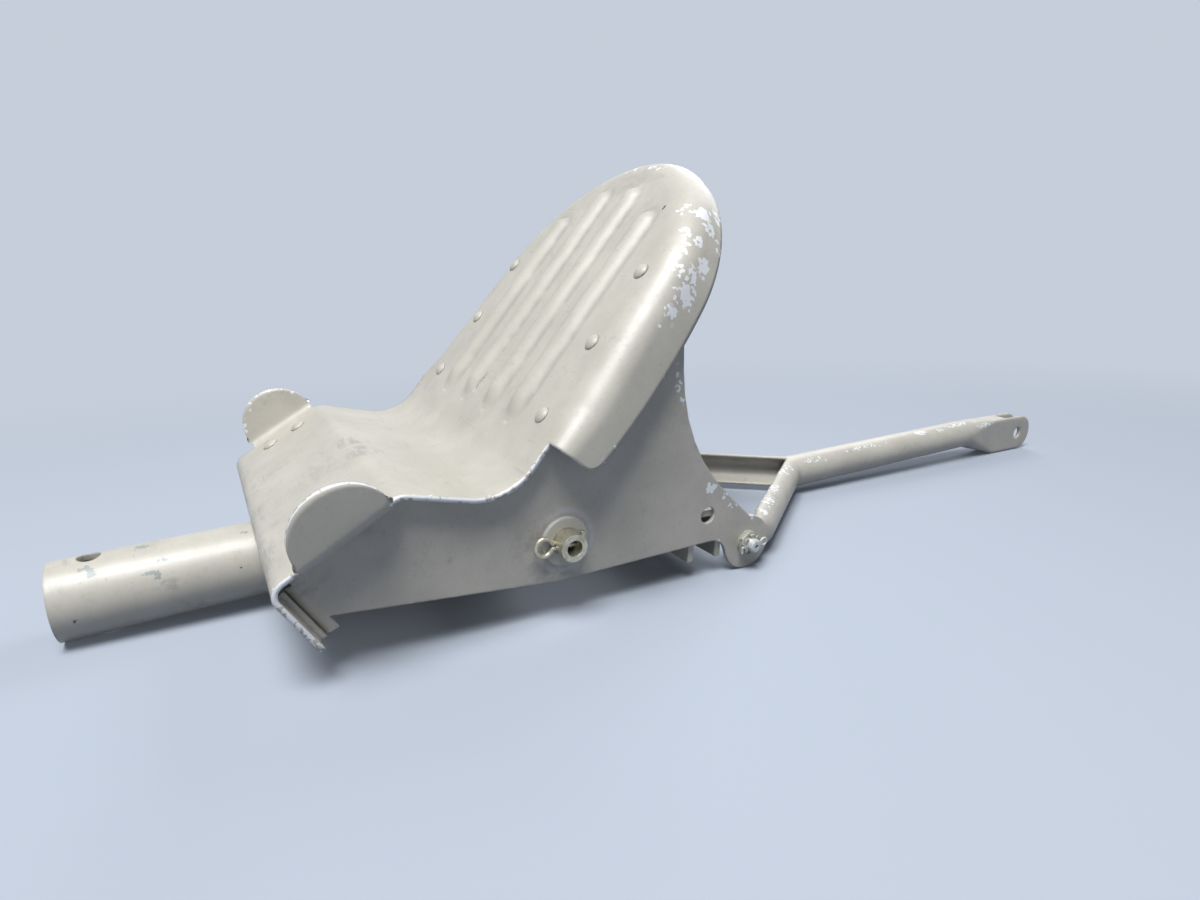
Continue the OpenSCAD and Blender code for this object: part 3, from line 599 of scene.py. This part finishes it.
def enamel(name, chips=(), primer_chips=(), dark_chips=(), smudges=(), ring=None,
           edge=0.5, rubbed=0.0, flake=1.6):
    """Old satin enamel: mottled and dusty, with dirt and painted shade at the beads' feet where a mesh
    carries them, pale along its edges, chipped and smudged at the given places.
    """
    n = Paint(name)
    tone = n.mix(n.steps(n.noise(48.0, 6.0, 0.65), 0.34, 0.68), ENAMEL_DULL, ENAMEL)
    # Grime and painted shade: specks, clouds, streaks across the part, dirt with painted shade at the beads'
    # feet, and the smudges
    speck = n.math("MULTIPLY", n.steps(n.noise(1100.0, 3.0, 0.6), 0.60, 0.74), 0.26)
    cloud = n.math("MULTIPLY", n.steps(n.noise(120.0, 6.0, 0.75), 0.54, 0.8), 0.4)
    streaks = n.math("MULTIPLY", n.steps(n.noise(30.0, 4.0, 0.7, (22.0, 1.3, 22.0)), 0.62, 0.72), 0.26)
    dirt_and_shade = n.add("ShaderNodeAttribute", attribute_name="dirt_and_shade").outputs["Fac"]
    foot_dirt_and_shade = n.math("MULTIPLY", n.math("MULTIPLY", dirt_and_shade, n.steps(n.noise(140.0, 4.0), 0.25, 0.6)), 0.36)
    grime_and_shade = n.largest([speck, cloud, streaks, foot_dirt_and_shade])
    hatch = n.steps(n.noise(260.0, 4.0, 0.7, (1.0, 0.22, 1.0)), 0.42, 0.62)
    for centre, reach, amount in smudges:
        soft = n.math("MULTIPLY", n.steps(n.spot(centre, reach), 0.0, 0.6), hatch)
        grime_and_shade = n.math("MAXIMUM", grime_and_shade, n.math("MULTIPLY", soft, amount))
    # Darkens the tone with grime, and with the painted shade at the beads' feet
    tone = n.mix(grime_and_shade, tone, GRIME_AND_SHADE)
    # Fine scratches, and the ring that a pin or washer has scuffed
    scratches = n.steps(n.noise(38.0, 5.0, 0.75, (1.5, 30.0, 24.0)), 0.69, 0.73)
    tone = n.mix(n.math("MULTIPLY", scratches, 0.3), tone, EDGE_PALE)
    if ring:
        centre, radius, width = ring
        off = n.vector("DISTANCE", n.where, Vector(centre) * MM)["Value"]
        near = n.math("ABSOLUTE", n.math("SUBTRACT", off, radius * MM))
        scuffed = n.math("MULTIPLY", n.steps(near, width * MM, 0.0), n.steps(n.noise(300.0, 4.0), 0.3, 0.55))
        tone = n.mix(n.math("MULTIPLY", scuffed, 0.8), tone, SCUFF)

    # Edges worn pale
    rounded = n.rounded(0.9)
    flat = n.add("ShaderNodeNewGeometry").outputs["Normal"]
    turned_away = n.math("SUBTRACT", 1.0, n.vector("DOT_PRODUCT", rounded, flat)["Value"])
    worn = n.math("MULTIPLY", n.steps(turned_away, 0.01, 0.18), edge)
    tone = n.mix(n.math("MULTIPLY", worn, 0.8), tone, EDGE_PALE)
    cut_edge = n.add("ShaderNodeAttribute", attribute_name="wear").outputs["Fac"]
    cell, chance = n.flakes(flake)

    def chipped(places, others=()):
        """1 on the flakes that are gone: all near the middle of a place, fewer towards its reach."""
        fields = list(others)
        for centre, reach, share in places:
            core = n.steps(n.spot(centre, reach, cell), 0.0, CHIP_CORE)
            fields.append(n.math("MULTIPLY", core, share))
        return n.steps(n.math("SUBTRACT", n.largest(fields), chance), 0.0, 0.03)

    # Paint gone down to primer, to dark metal and to bare metal
    shown = 0.0
    for colour, places in ((PRIMER, primer_chips), (DARK, dark_chips)):
        if places:
            gone = chipped(places)
            tone = n.mix(gone, tone, colour)
            shown = n.math("MAXIMUM", shown, gone)
    bare = chipped(chips, [rubbed, n.math("MULTIPLY", worn, 0.16), n.math("MULTIPLY", cut_edge, 0.08)])
    n.set("Base Color", n.mix(bare, tone, BARE))
    n.set("Metallic", n.math("MULTIPLY", bare, 0.2))
    satin = n.math("ADD", 0.35, n.math("MULTIPLY", n.noise(150.0, 5.0, 0.6), 0.16))
    n.set("Specular IOR Level", 0.85)
    n.set("Roughness", n.math("ADD", satin, n.math("MULTIPLY", grime_and_shade, 0.25)))
    height = n.math("SUBTRACT", n.math("MULTIPLY", n.noise(850.0, 2.0), 0.3), n.math("MAXIMUM", bare, shown))
    n.relief(height, 0.4, 0.12, rounded)
    return n.material


PLATED = (0.600, 0.570, 0.455, 1)
PLATED_DULL = (0.400, 0.372, 0.285, 1)
ZINC = (0.680, 0.690, 0.680, 1)
ZINC_DULL = (0.520, 0.525, 0.500, 1)
CADMIUM = (0.480, 0.490, 0.420, 1)
CADMIUM_DULL = (0.330, 0.335, 0.270, 1)
BRONZE = (0.420, 0.270, 0.130, 1)
BRONZE_DULL = (0.230, 0.150, 0.080, 1)


def plated(name, bright, dull, metal=0.85, rough=0.32):
    """Plated or bare hardware metal, dulled in patches, with fine turning marks."""
    n = Paint(name)
    patch = n.steps(n.noise(420.0, 5.0, 0.65), 0.4, 0.68)
    n.set("Base Color", n.mix(patch, bright, dull))
    n.set("Metallic", metal)
    n.set("Roughness", n.math("ADD", rough, n.math("MULTIPLY", patch, 0.22)))
    marks = n.noise(1500.0, 2.0, 0.5, (1.0, 6.0, 1.0))
    n.relief(marks, 0.2, 0.06, n.rounded(0.3))
    return n.material


def dress(node, material):
    """Puts a material on a carried-over solid."""
    slots = frame["nodes"][node].data.materials
    slots.clear()
    slots.append(material)


# Places of wear in millimetres of the part frame, each with its reach along X, Y and Z and its strength,
# and the middle, radius and width of the scuffed rings
SHEET_CHIPS = [((202.1, -53.5, 122.1), (4.5, 3.4, 5.0), 1.0), ((209.6, -50.9, 120.6), (3.4, 3.5, 4.0), 0.8),
               ((202.9, -56.3, 116.2), (4.4, 3.4, 3.4), 0.9), ((195.6, -60.4, 112.0), (3.4, 2.6, 2.6), 0.8),
               ((196.1, -62.7, 104.0), (4.6, 2.6, 5.0), 0.95), ((205.1, -57.9, 111.0), (2.6, 2.6, 6.0), 0.7),
               ((189.6, -64.3, 101.8), (3.5, 2.6, 5.0), 0.7), ((187.5, -65.5, 94.8), (4.4, 2.6, 6.0), 1.0),
               ((192.5, -62.0, 98.0), (3.0, 2.6, 4.0), 0.7), ((181.0, -66.4, 90.0), (5.0, 2.6, 4.0), 0.5),
               ((177.0, -66.9, 86.5), (5.0, 2.0, 3.4), 0.35), ((196.4, -49.5, 124.3), (4.0, 5.0, 6.0), 0.4),
               ((192.3, -56.6, 117.4), (4.0, 4.0, 6.0), 0.5), ((188.6, -60.9, 110.9), (4.0, 3.6, 6.0), 0.55),
               ((184.6, -63.7, 104.5), (4.0, 3.0, 6.0), 0.5), ((181.4, -65.3, 98.3), (4.0, 2.6, 6.0), 0.4),
               ((210.3, 5.5, 142.3), (2.6, 8.0, 2.0), 0.7), ((209.7, -8.4, 141.7), (2.6, 5.0, 2.0), 0.8),
               ((208.9, -17.0, 140.6), (2.4, 5.0, 2.4), 0.6), ((211.0, 22.0, 142.0), (2.6, 9.0, 2.0), 0.6),
               ((66.8, -66.0, 0.2), (4.0, 3.0, 6.0), 0.6)]
SHEET_MARKS = [((195.8, -39.2, 124.4), (1.2, 1.6, 1.8), 0.8)]
SHEET_SMUDGES = [((92.4, -15.0, 41.3), (9.0, 9.0, 9.0), 0.42), ((91.1, 0.2, 41.4), (8.0, 8.0, 8.0), 0.4),
                 ((56.8, -11.1, 20.8), (12.0, 12.0, 12.0), 0.3),
                 ((77.8, -8.0, 34.2), (14.0, 14.0, 14.0), 0.16),
                 ((207.0, -6.0, 137.0), (12.0, 34.0, 12.0), 0.2),
                 ((55.5, -46.0, 20.2), (8.0, 22.0, 9.0), 0.32),
                 ((56.5, 30.0, 20.6), (7.0, 30.0, 8.0), 0.26),
                 ((74.0, -45.0, 31.5), (16.0, 18.0, 12.0), 0.18)]
PLATE_CHIPS = [((207.0, -61.3, 24.1), (2.8, 2.0, 2.8), 1.0), ((214.7, -61.3, 19.7), (4.0, 2.0, 2.4), 0.5),
               ((219.0, -61.3, 16.1), (4.0, 2.0, 2.4), 0.5), ((228.1, -60.6, 9.4), (4.0, 2.0, 2.4), 0.4),
               ((187.8, -61.3, 69.1), (1.6, 2.0, 4.0), 0.6), ((189.4, -61.3, 64.4), (1.6, 2.0, 4.0), 0.6),
               ((191.5, -61.3, 59.0), (1.6, 2.0, 4.0), 0.5), ((97.2, -61.3, 19.7), (0.8, 1.2, 0.8), 1.0),
               ((212.5, -61.3, 1.6), (2.4, 1.4, 1.6), 0.6)]
PLATE_SMUDGES = [((141.0, -61.3, 12.0), (22.0, 22.0, 22.0), 0.3),
                 ((63.8, -61.3, 21.1), (10.0, 10.0, 10.0), 0.45)]
PIN_RING = ((144.9, -61.3, 15.3), 10.6, 1.6)
WASHER_RING = ((144.9, -62.0, 15.3), 9.0, 1.8)
ARM_PRIMER = [((9.4, -6.0, 12.0), (1.8, 1.8, 1.8), 1.0), ((11.2, -7.4, 10.8), (1.6, 2.4, 2.6), 1.0),
              ((24.1, -1.0, 13.9), (4.0, 1.8, 1.4), 1.0), ((29.9, -8.3, 11.2), (3.0, 0.8, 0.8), 0.9),
              ((26.0, -10.5, 8.3), (3.4, 0.9, 0.9), 0.9), ((28.3, -11.4, 7.0), (1.6, 1.2, 1.2), 1.0),
              ((54.3, -4.6, 14.7), (4.0, 0.6, 0.6), 0.8)]
ARM_DARK = [((51.0, -12.4, 5.4), (0.8, 0.8, 0.8), 0.9), ((5.7, -12.5, -1.7), (1.3, 0.8, 0.8), 0.7)]
ARM_SMUDGES = [((30.7, -12.4, 4.1), (6.0, 4.0, 3.0), 0.4), ((6.0, 0.0, 12.4), (5.0, 5.0, 3.0), 0.3)]
LINK_CHIPS = [((417.6, -3.7, 9.3), (6.0, 3.0, 3.0), 0.8), ((435.1, -4.4, 9.4), (5.0, 2.0, 2.0), 0.5),
              ((457.2, -3.1, 10.7), (22.0, 1.8, 1.8), 0.45), ((479.1, -6.6, 8.5), (16.0, 1.8, 1.8), 0.5),
              ((366.8, -5.0, 6.9), (26.0, 1.6, 1.6), 0.3), ((325.3, -5.9, 4.9), (14.0, 2.0, 2.0), 0.35),
              ((299.9, -12.6, 5.8), (6.0, 4.0, 3.0), 0.5), ((288.0, -17.0, 6.9), (9.0, 6.0, 3.0), 0.4),
              ((267.0, -34.0, 6.4), (10.0, 8.0, 3.0), 0.4), ((255.1, -44.7, 6.2), (8.0, 6.0, 3.0), 0.4),
              ((242.7, -54.0, 5.9), (3.0, 3.0, 2.0), 0.7), ((249.4, -52.0, 4.5), (1.4, 3.4, 2.4), 0.7)]

sheet_paint = enamel("enamel_sheet", SHEET_CHIPS, dark_chips=SHEET_MARKS, smudges=SHEET_SMUDGES, flake=1.3)
sheet_edge = enamel("enamel_cut_edge", rubbed=0.8, flake=1.2)
plate_paint = enamel("enamel_plates", PLATE_CHIPS, smudges=PLATE_SMUDGES, ring=PIN_RING, edge=0.7, flake=1.1)
washer_paint = enamel("enamel_washers", ring=WASHER_RING, edge=0.8, flake=0.8)
rivet_paint = enamel("enamel_rivets", edge=0.1)
arm_paint = enamel("enamel_arm", (), ARM_PRIMER, ARM_DARK, ARM_SMUDGES, edge=0.4, flake=0.8)
link_paint = enamel("enamel_link", LINK_CHIPS, edge=0.3, flake=1.0)
hardware = plated("plated_hardware", PLATED, PLATED_DULL)
bolt_plating = plated("plated_bolts", ZINC, ZINC_DULL, 0.3, 0.42)
nut_plating = plated("plated_nuts", CADMIUM, CADMIUM_DULL, 0.2, 0.5)
bushes = plated("bush_bronze", BRONZE, BRONZE_DULL)

pedal_sheet.data.materials.append(sheet_paint)
pedal_sheet.data.materials.append(sheet_edge)
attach(pedal_sheet, "pedal")
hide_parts("pedal_plate")

for node in ("left_side_plate", "right_side_plate", "front_doubler", "rear_tie"):
    dress(node, plate_paint)
for node in ("toe_rivets", "heel_rivets", "front_lip_rivets"):
    dress(node, rivet_paint)
for node in ("arm_tube", "arm_cross_tube"):
    dress(node, arm_paint)
dress("pivot_washers", washer_paint)
dress("pivot_pin", hardware)
for node in ("left_pivot_bush", "right_pivot_bush", "link_bushes"):
    dress(node, bushes)

# Fasteners in millimetres and degrees: the link's bolts, washers, nuts and split pins, with their
# places out from the middle plane along the link's pivot, and the split pin of the brake's pivot
BOLT_OUT = -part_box("right_link_bolt")[0][1] / MM
HEAD_IN = -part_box("right_link_bolt")[1][1] / MM
WASHER_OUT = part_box("link_bolt_washers")[1][1] / MM
HEAD_HEIGHT = 4.0
HEX_TURN = 60
HEX_FLATS = 9.5
HEX_CORNER = HEX_FLATS / math.sqrt(3)
HEX_CHAMFER = 0.35
BOLT_R = 3.15
THREAD_R = 2.65
THREAD_PITCH = 0.8
THREAD_DEPTH = 0.22
END_CHAMFER = 0.5
END_HOLE_R = 0.75
END_HOLE_DEPTH = 1.5
WASHER_R = 5.0
WASHER_THICK = 0.8
NUT_BASE = 1.7
NUT_CROWN = 1.0
CROWN_R = 4.2
CROWN_CHAMFER = 0.2
SLOT_TURN = 12.0
SLOT_SIDE = 0.4
SLOT_STEPS = 3
LAND_STEPS = 8
COTTER_R = 0.45
COTTER_EYE = 6.2
EYE_R = 1.45
EYE_STEPS = 24
LEG_RISE = 3.2
LEG_GAP = 0.1
LEG_BEND = 0.7
LEG_STEPS = 6
PIN_R = 4.6
PIN_EYE = 8.6
PIN_EYE_R = 3.0
PIN_WIRE_R = 0.85
WIRE_SIDES = 12
FASTENER_MERGE = 0.01
SHARP_ANGLE = 30
NUT_FLOOR = WASHER_OUT + NUT_BASE
NUT_OUT = NUT_FLOOR + NUT_CROWN

slot_angles = [SLOT_TURN * k / SLOT_STEPS for k in range(-SLOT_STEPS, SLOT_STEPS + 1)]
land_start = SLOT_TURN + SLOT_SIDE
land_turn = HEX_TURN - 2 * land_start
land_angles = [land_start + land_turn * k / LAND_STEPS for k in range(LAND_STEPS + 1)]
sector_angles = slot_angles + land_angles
turn_angles = [HEX_TURN * k + angle for k in range(360 // HEX_TURN) for angle in sector_angles]


def join_rings(edit, pairs):
    """Adds the faces between the two rings of points of each pair."""
    for inner, outer in pairs:
        for k in range(len(inner)):
            edit.faces.new((inner[k - 1], inner[k], outer[k], outer[k - 1]))


def turned_form(edit, side, profile, flats=None, slot_floor=None):
    """Adds a form turned about the link's pivot from pairs of distance out and radius,
    with six sides where flats is given, and with a castle nut's slots down to slot_floor."""
    rings = []
    for out, radius in profile:
        ring = []
        for degrees in turn_angles:
            off = (degrees + HEX_TURN / 2) % HEX_TURN - HEX_TURN / 2
            reach = min(radius, flats / 2 / math.cos(math.radians(off))) if flats else radius
            slotted = slot_floor is not None and abs(off) < SLOT_TURN + SLOT_SIDE / 2
            level = min(out, slot_floor) if slotted else out
            a = math.radians(degrees)
            point = Vector((reach * math.cos(a), side * level, reach * math.sin(a)))
            ring.append(edit.verts.new(LUG + point * MM))
        rings.append(ring)
    pairs = list(zip(rings, rings[1:]))
    if profile[0][1] > 0:
        pairs.append((rings[-1], rings[0]))
    join_rings(edit, pairs)


def bolt(edit, side):
    """A link bolt: its hexagon head inside the plates, its shank, and its threaded end with a small hole."""
    seat = HEAD_IN + HEAD_HEIGHT
    turned_form(edit, side, [(HEAD_IN, 0), (HEAD_IN, HEX_FLATS / 2), (HEAD_IN + HEX_CHAMFER, HEX_CORNER),
                             (seat, HEX_CORNER), (seat, 0)], HEX_FLATS)
    profile = [(seat, 0), (seat, BOLT_R), (WASHER_OUT, BOLT_R), (WASHER_OUT, THREAD_R)]
    for k in range(int((BOLT_OUT - END_CHAMFER - NUT_OUT) / THREAD_PITCH)):
        ridge = NUT_OUT + k * THREAD_PITCH
        profile += [(ridge, THREAD_R), (ridge + THREAD_PITCH / 2, THREAD_R - THREAD_DEPTH)]
    hole_floor = BOLT_OUT - END_HOLE_DEPTH
    profile += [(BOLT_OUT - END_CHAMFER, THREAD_R), (BOLT_OUT, THREAD_R - END_CHAMFER),
                (BOLT_OUT, END_HOLE_R), (hole_floor, END_HOLE_R), (hole_floor, 0)]
    turned_form(edit, side, profile)


def bolt_washer(edit, side):
    face = WASHER_OUT - WASHER_THICK
    turned_form(edit, side, [(face, BOLT_R), (face, WASHER_R), (WASHER_OUT, WASHER_R), (WASHER_OUT, BOLT_R)])


def castle_nut(edit, side):
    profile = [(WASHER_OUT, THREAD_R), (WASHER_OUT, HEX_FLATS / 2), (WASHER_OUT + HEX_CHAMFER, HEX_CORNER),
               (NUT_FLOOR - HEX_CHAMFER, HEX_CORNER), (NUT_FLOOR, HEX_FLATS / 2), (NUT_FLOOR, CROWN_R),
               (NUT_OUT - CROWN_CHAMFER, CROWN_R), (NUT_OUT, CROWN_R - CROWN_CHAMFER), (NUT_OUT, THREAD_R)]
    turned_form(edit, side, profile, HEX_FLATS, NUT_FLOOR)


def split_pin(edit, side, centre, level, grip, eye_at, eye_r, wire_r, way):
    """A split pin at a level out from the middle plane, through a round of radius grip about a centre:
    two strands, a round eye at +X or -X by its way, and legs bent against the round at the other side."""
    leg_x = -grip - wire_r - LEG_GAP
    half = [Vector((leg_x, LEG_RISE)), Vector((leg_x, wire_r + LEG_BEND))]
    half += fillet(half[-1], Vector((leg_x, wire_r)), Vector((0, wire_r)), LEG_BEND, LEG_STEPS)
    start = math.pi - math.asin(wire_r / eye_r)
    for k in range(EYE_STEPS, -1, -1):
        a = start * k / EYE_STEPS
        half.append(Vector((eye_at + eye_r * math.cos(a), eye_r * math.sin(a))))
    points = half + [Vector((p.x, -p.y)) for p in reversed(half[:-1])]
    rings = []
    for k, p in enumerate(points):
        ahead = (points[min(k + 1, len(points) - 1)] - points[max(k - 1, 0)]).normalized()
        ring = []
        for m in range(WIRE_SIDES):
            a = 2 * math.pi * m / WIRE_SIDES
            x, z = p + wire_r * math.cos(a) * Vector((-ahead.y, ahead.x))
            point = Vector((way * x, side * (level + wire_r * math.sin(a)), z))
            ring.append(edit.verts.new(centre + point * MM))
        rings.append(ring)
    join_rings(edit, zip(rings, rings[1:]))
    edit.faces.new(rings[0])
    edit.faces.new(rings[-1])


def link_pin(edit, side):
    split_pin(edit, side, LUG, NUT_FLOOR + COTTER_R, CROWN_R, COTTER_EYE, EYE_R, COTTER_R, 1)


def pivot_pin(edit, side):
    low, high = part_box("pivot_cotter")
    level = -(low[1] + high[1]) / 2 / MM
    split_pin(edit, side, PIVOT, level, PIN_R, PIN_EYE, PIN_EYE_R, PIN_WIRE_R, -1)


def fastener(name, build, sides, node, material):
    """Makes one piece of the fasteners at the given sides and lets it stand for its solid."""
    edit = bmesh.new()
    for side in sides:
        build(edit, side)
    bmesh.ops.remove_doubles(edit, verts=edit.verts, dist=FASTENER_MERGE * MM)
    bmesh.ops.dissolve_degenerate(edit, edges=edit.edges, dist=FASTENER_MERGE * MM)
    bmesh.ops.recalc_face_normals(edit, faces=edit.faces)
    mesh = bpy.data.meshes.new(name)
    edit.to_mesh(mesh)
    edit.free()
    smooth(mesh)
    mesh.set_sharp_from_angle(angle=math.radians(SHARP_ANGLE))
    mesh.materials.append(material)
    piece = placed(name, mesh)
    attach(piece, "pedal")
    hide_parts(node)


for name, side in (("left", 1), ("right", -1)):
    fastener(name + "_threaded_bolt", bolt, [side], name + "_link_bolt", bolt_plating)
    fastener(name + "_castle_nut", castle_nut, [side], name + "_link_nut", nut_plating)
fastener("bolt_washer_pair", bolt_washer, [-1, 1], "link_bolt_washers", nut_plating)
fastener("split_pin_pair", link_pin, [-1, 1], "link_cotters", bolt_plating)
fastener("pivot_split_pin", pivot_pin, [-1], "pivot_cotter", hardware)

# Welded link: its tube and legs flow into each other
LINK_NODES = ("link_tube", "left_link_leg", "right_link_leg")
WELD_VOXEL = 0.8
WELD_FACTOR = 0.5
WELD_PASSES = 7
joined = bmesh.new()
for node in LINK_NODES:
    joined.from_mesh(frame["nodes"][node].data)
link_mesh = bpy.data.meshes.new("welded_link")
joined.to_mesh(link_mesh)
joined.free()
welded_link = placed("welded_link", link_mesh)
skin = welded_link.modifiers.new("skin", "REMESH")
skin.mode = "VOXEL"
skin.voxel_size = WELD_VOXEL * MM
skin.use_smooth_shade = True
blend = welded_link.modifiers.new("weld", "SMOOTH")
blend.factor = WELD_FACTOR
blend.iterations = WELD_PASSES
link_mesh.materials.append(link_paint)
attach(welded_link, "link")
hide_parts(*LINK_NODES)

# Floor that fades into the sky, lights and camera, in metres but for the gap under the part in millimetres
FLOOR_PALE = (0.430, 0.480, 0.560, 1)
FLOOR_SHADE = (0.415, 0.465, 0.545, 1)
FLOOR_BOUNCE = (0.130, 0.150, 0.200, 1)
SKY_SEEN = (0.560, 0.615, 0.700, 1)
SKY_LIGHT = (0.105, 0.113, 0.130, 1)
FLOOR_SIZE = 40.0
FLOOR_GAP = 0.2
FADE_REACH = (0.95, 0.50, 1.0)
FADE_START = 0.1


def seen_rays(nodes):
    """1 on what the camera sees, directly or in a reflection, and 0 for the light that falls on the part."""
    rays = nodes.add("ShaderNodeLightPath").outputs
    return nodes.largest([rays["Is Camera Ray"], rays["Is Glossy Ray"], rays["Is Transmission Ray"]])


middle = (cad_low + cad_high) / 2
floor_mesh = bpy.data.meshes.new("floor")
reach = FLOOR_SIZE / 2
floor_z = cad_low[2] - FLOOR_GAP * MM
floor_mesh.from_pydata([(-reach, -reach, floor_z), (reach, -reach, floor_z), (reach, reach, floor_z),
                        (-reach, reach, floor_z)], [], [(0, 1, 2, 3)])
floor = placed("floor", floor_mesh)
paper = Paint("floor_paper")
seen = seen_rays(paper)
paper_tone = paper.mix(paper.noise(3.0, 2.0), FLOOR_PALE, FLOOR_SHADE)
paper.set("Base Color", paper.mix(seen, FLOOR_BOUNCE, paper_tone))
paper.set("Roughness", 0.9)
off_middle = paper.vector("SUBTRACT", paper.where, (middle.x, middle.y, floor_z))[0]
away = paper.vector("LENGTH", paper.vector("DIVIDE", off_middle, FADE_REACH)[0])["Value"]
fade = paper.math("MULTIPLY", paper.steps(away, FADE_START, 1.0), seen)
glow = paper.add("ShaderNodeEmission", {"Color": SKY_SEEN})
sweep = paper.add("ShaderNodeMixShader", {0: fade, 1: paper.shader.outputs[0], 2: glow.outputs[0]})
paper.feed(paper.tree.nodes["Material Output"].inputs["Surface"], sweep.outputs[0])
floor_mesh.materials.append(paper.material)

world = bpy.data.worlds.new("studio")
world.use_nodes = True
bpy.context.scene.world = world
sky = Nodes(world.node_tree)
sky.feed(world.node_tree.nodes["Background"].inputs["Color"], sky.mix(seen_rays(sky), SKY_LIGHT, SKY_SEEN))


def area_light(name, offset, size, power):
    """A soft lamp at an offset from the part's middle, which it faces."""
    light = bpy.data.lights.new(name, "AREA")
    light.shape = "RECTANGLE"
    light.size, light.size_y = size
    light.energy = power
    lamp = placed(name, light)
    lamp.location = middle + Vector(offset)
    lamp.rotation_euler = (-Vector(offset)).to_track_quat("-Z", "Y").to_euler()


area_light("key", (-0.47, -0.36, 1.18), (0.65, 0.65), 22.5)
area_light("fill", (-0.3, -1.5, 0.6), (1.2, 1.0), 0.4)
area_light("rim", (0.9, 0.7, 0.8), (0.8, 0.8), 7.0)

azimuth = math.radians(VIEW_AZIMUTH)
down = math.radians(VIEW_DOWN)
roll = math.radians(VIEW_ROLL)
forward = Vector((math.sin(azimuth) * math.cos(down), math.cos(azimuth) * math.cos(down), -math.sin(down)))
level = Vector((math.cos(azimuth), -math.sin(azimuth), 0))
right = level * math.cos(roll) + level.cross(forward) * math.sin(roll)
lens = bpy.data.cameras.new("photo_camera")
lens.sensor_width = SENSOR
lens.lens = FOCAL_PIXELS / IMAGE_WIDTH * SENSOR
lens.clip_start = CLIP_START
camera = placed("photo_camera", lens)
facing = Matrix((right, right.cross(forward), -forward)).transposed().to_4x4()
camera.matrix_world = Matrix.Translation(PIVOT + Vector(EYE_FROM_PIVOT) * MM) @ facing
bpy.context.scene.camera = camera
bpy.context.scene.view_settings.view_transform = "Standard"
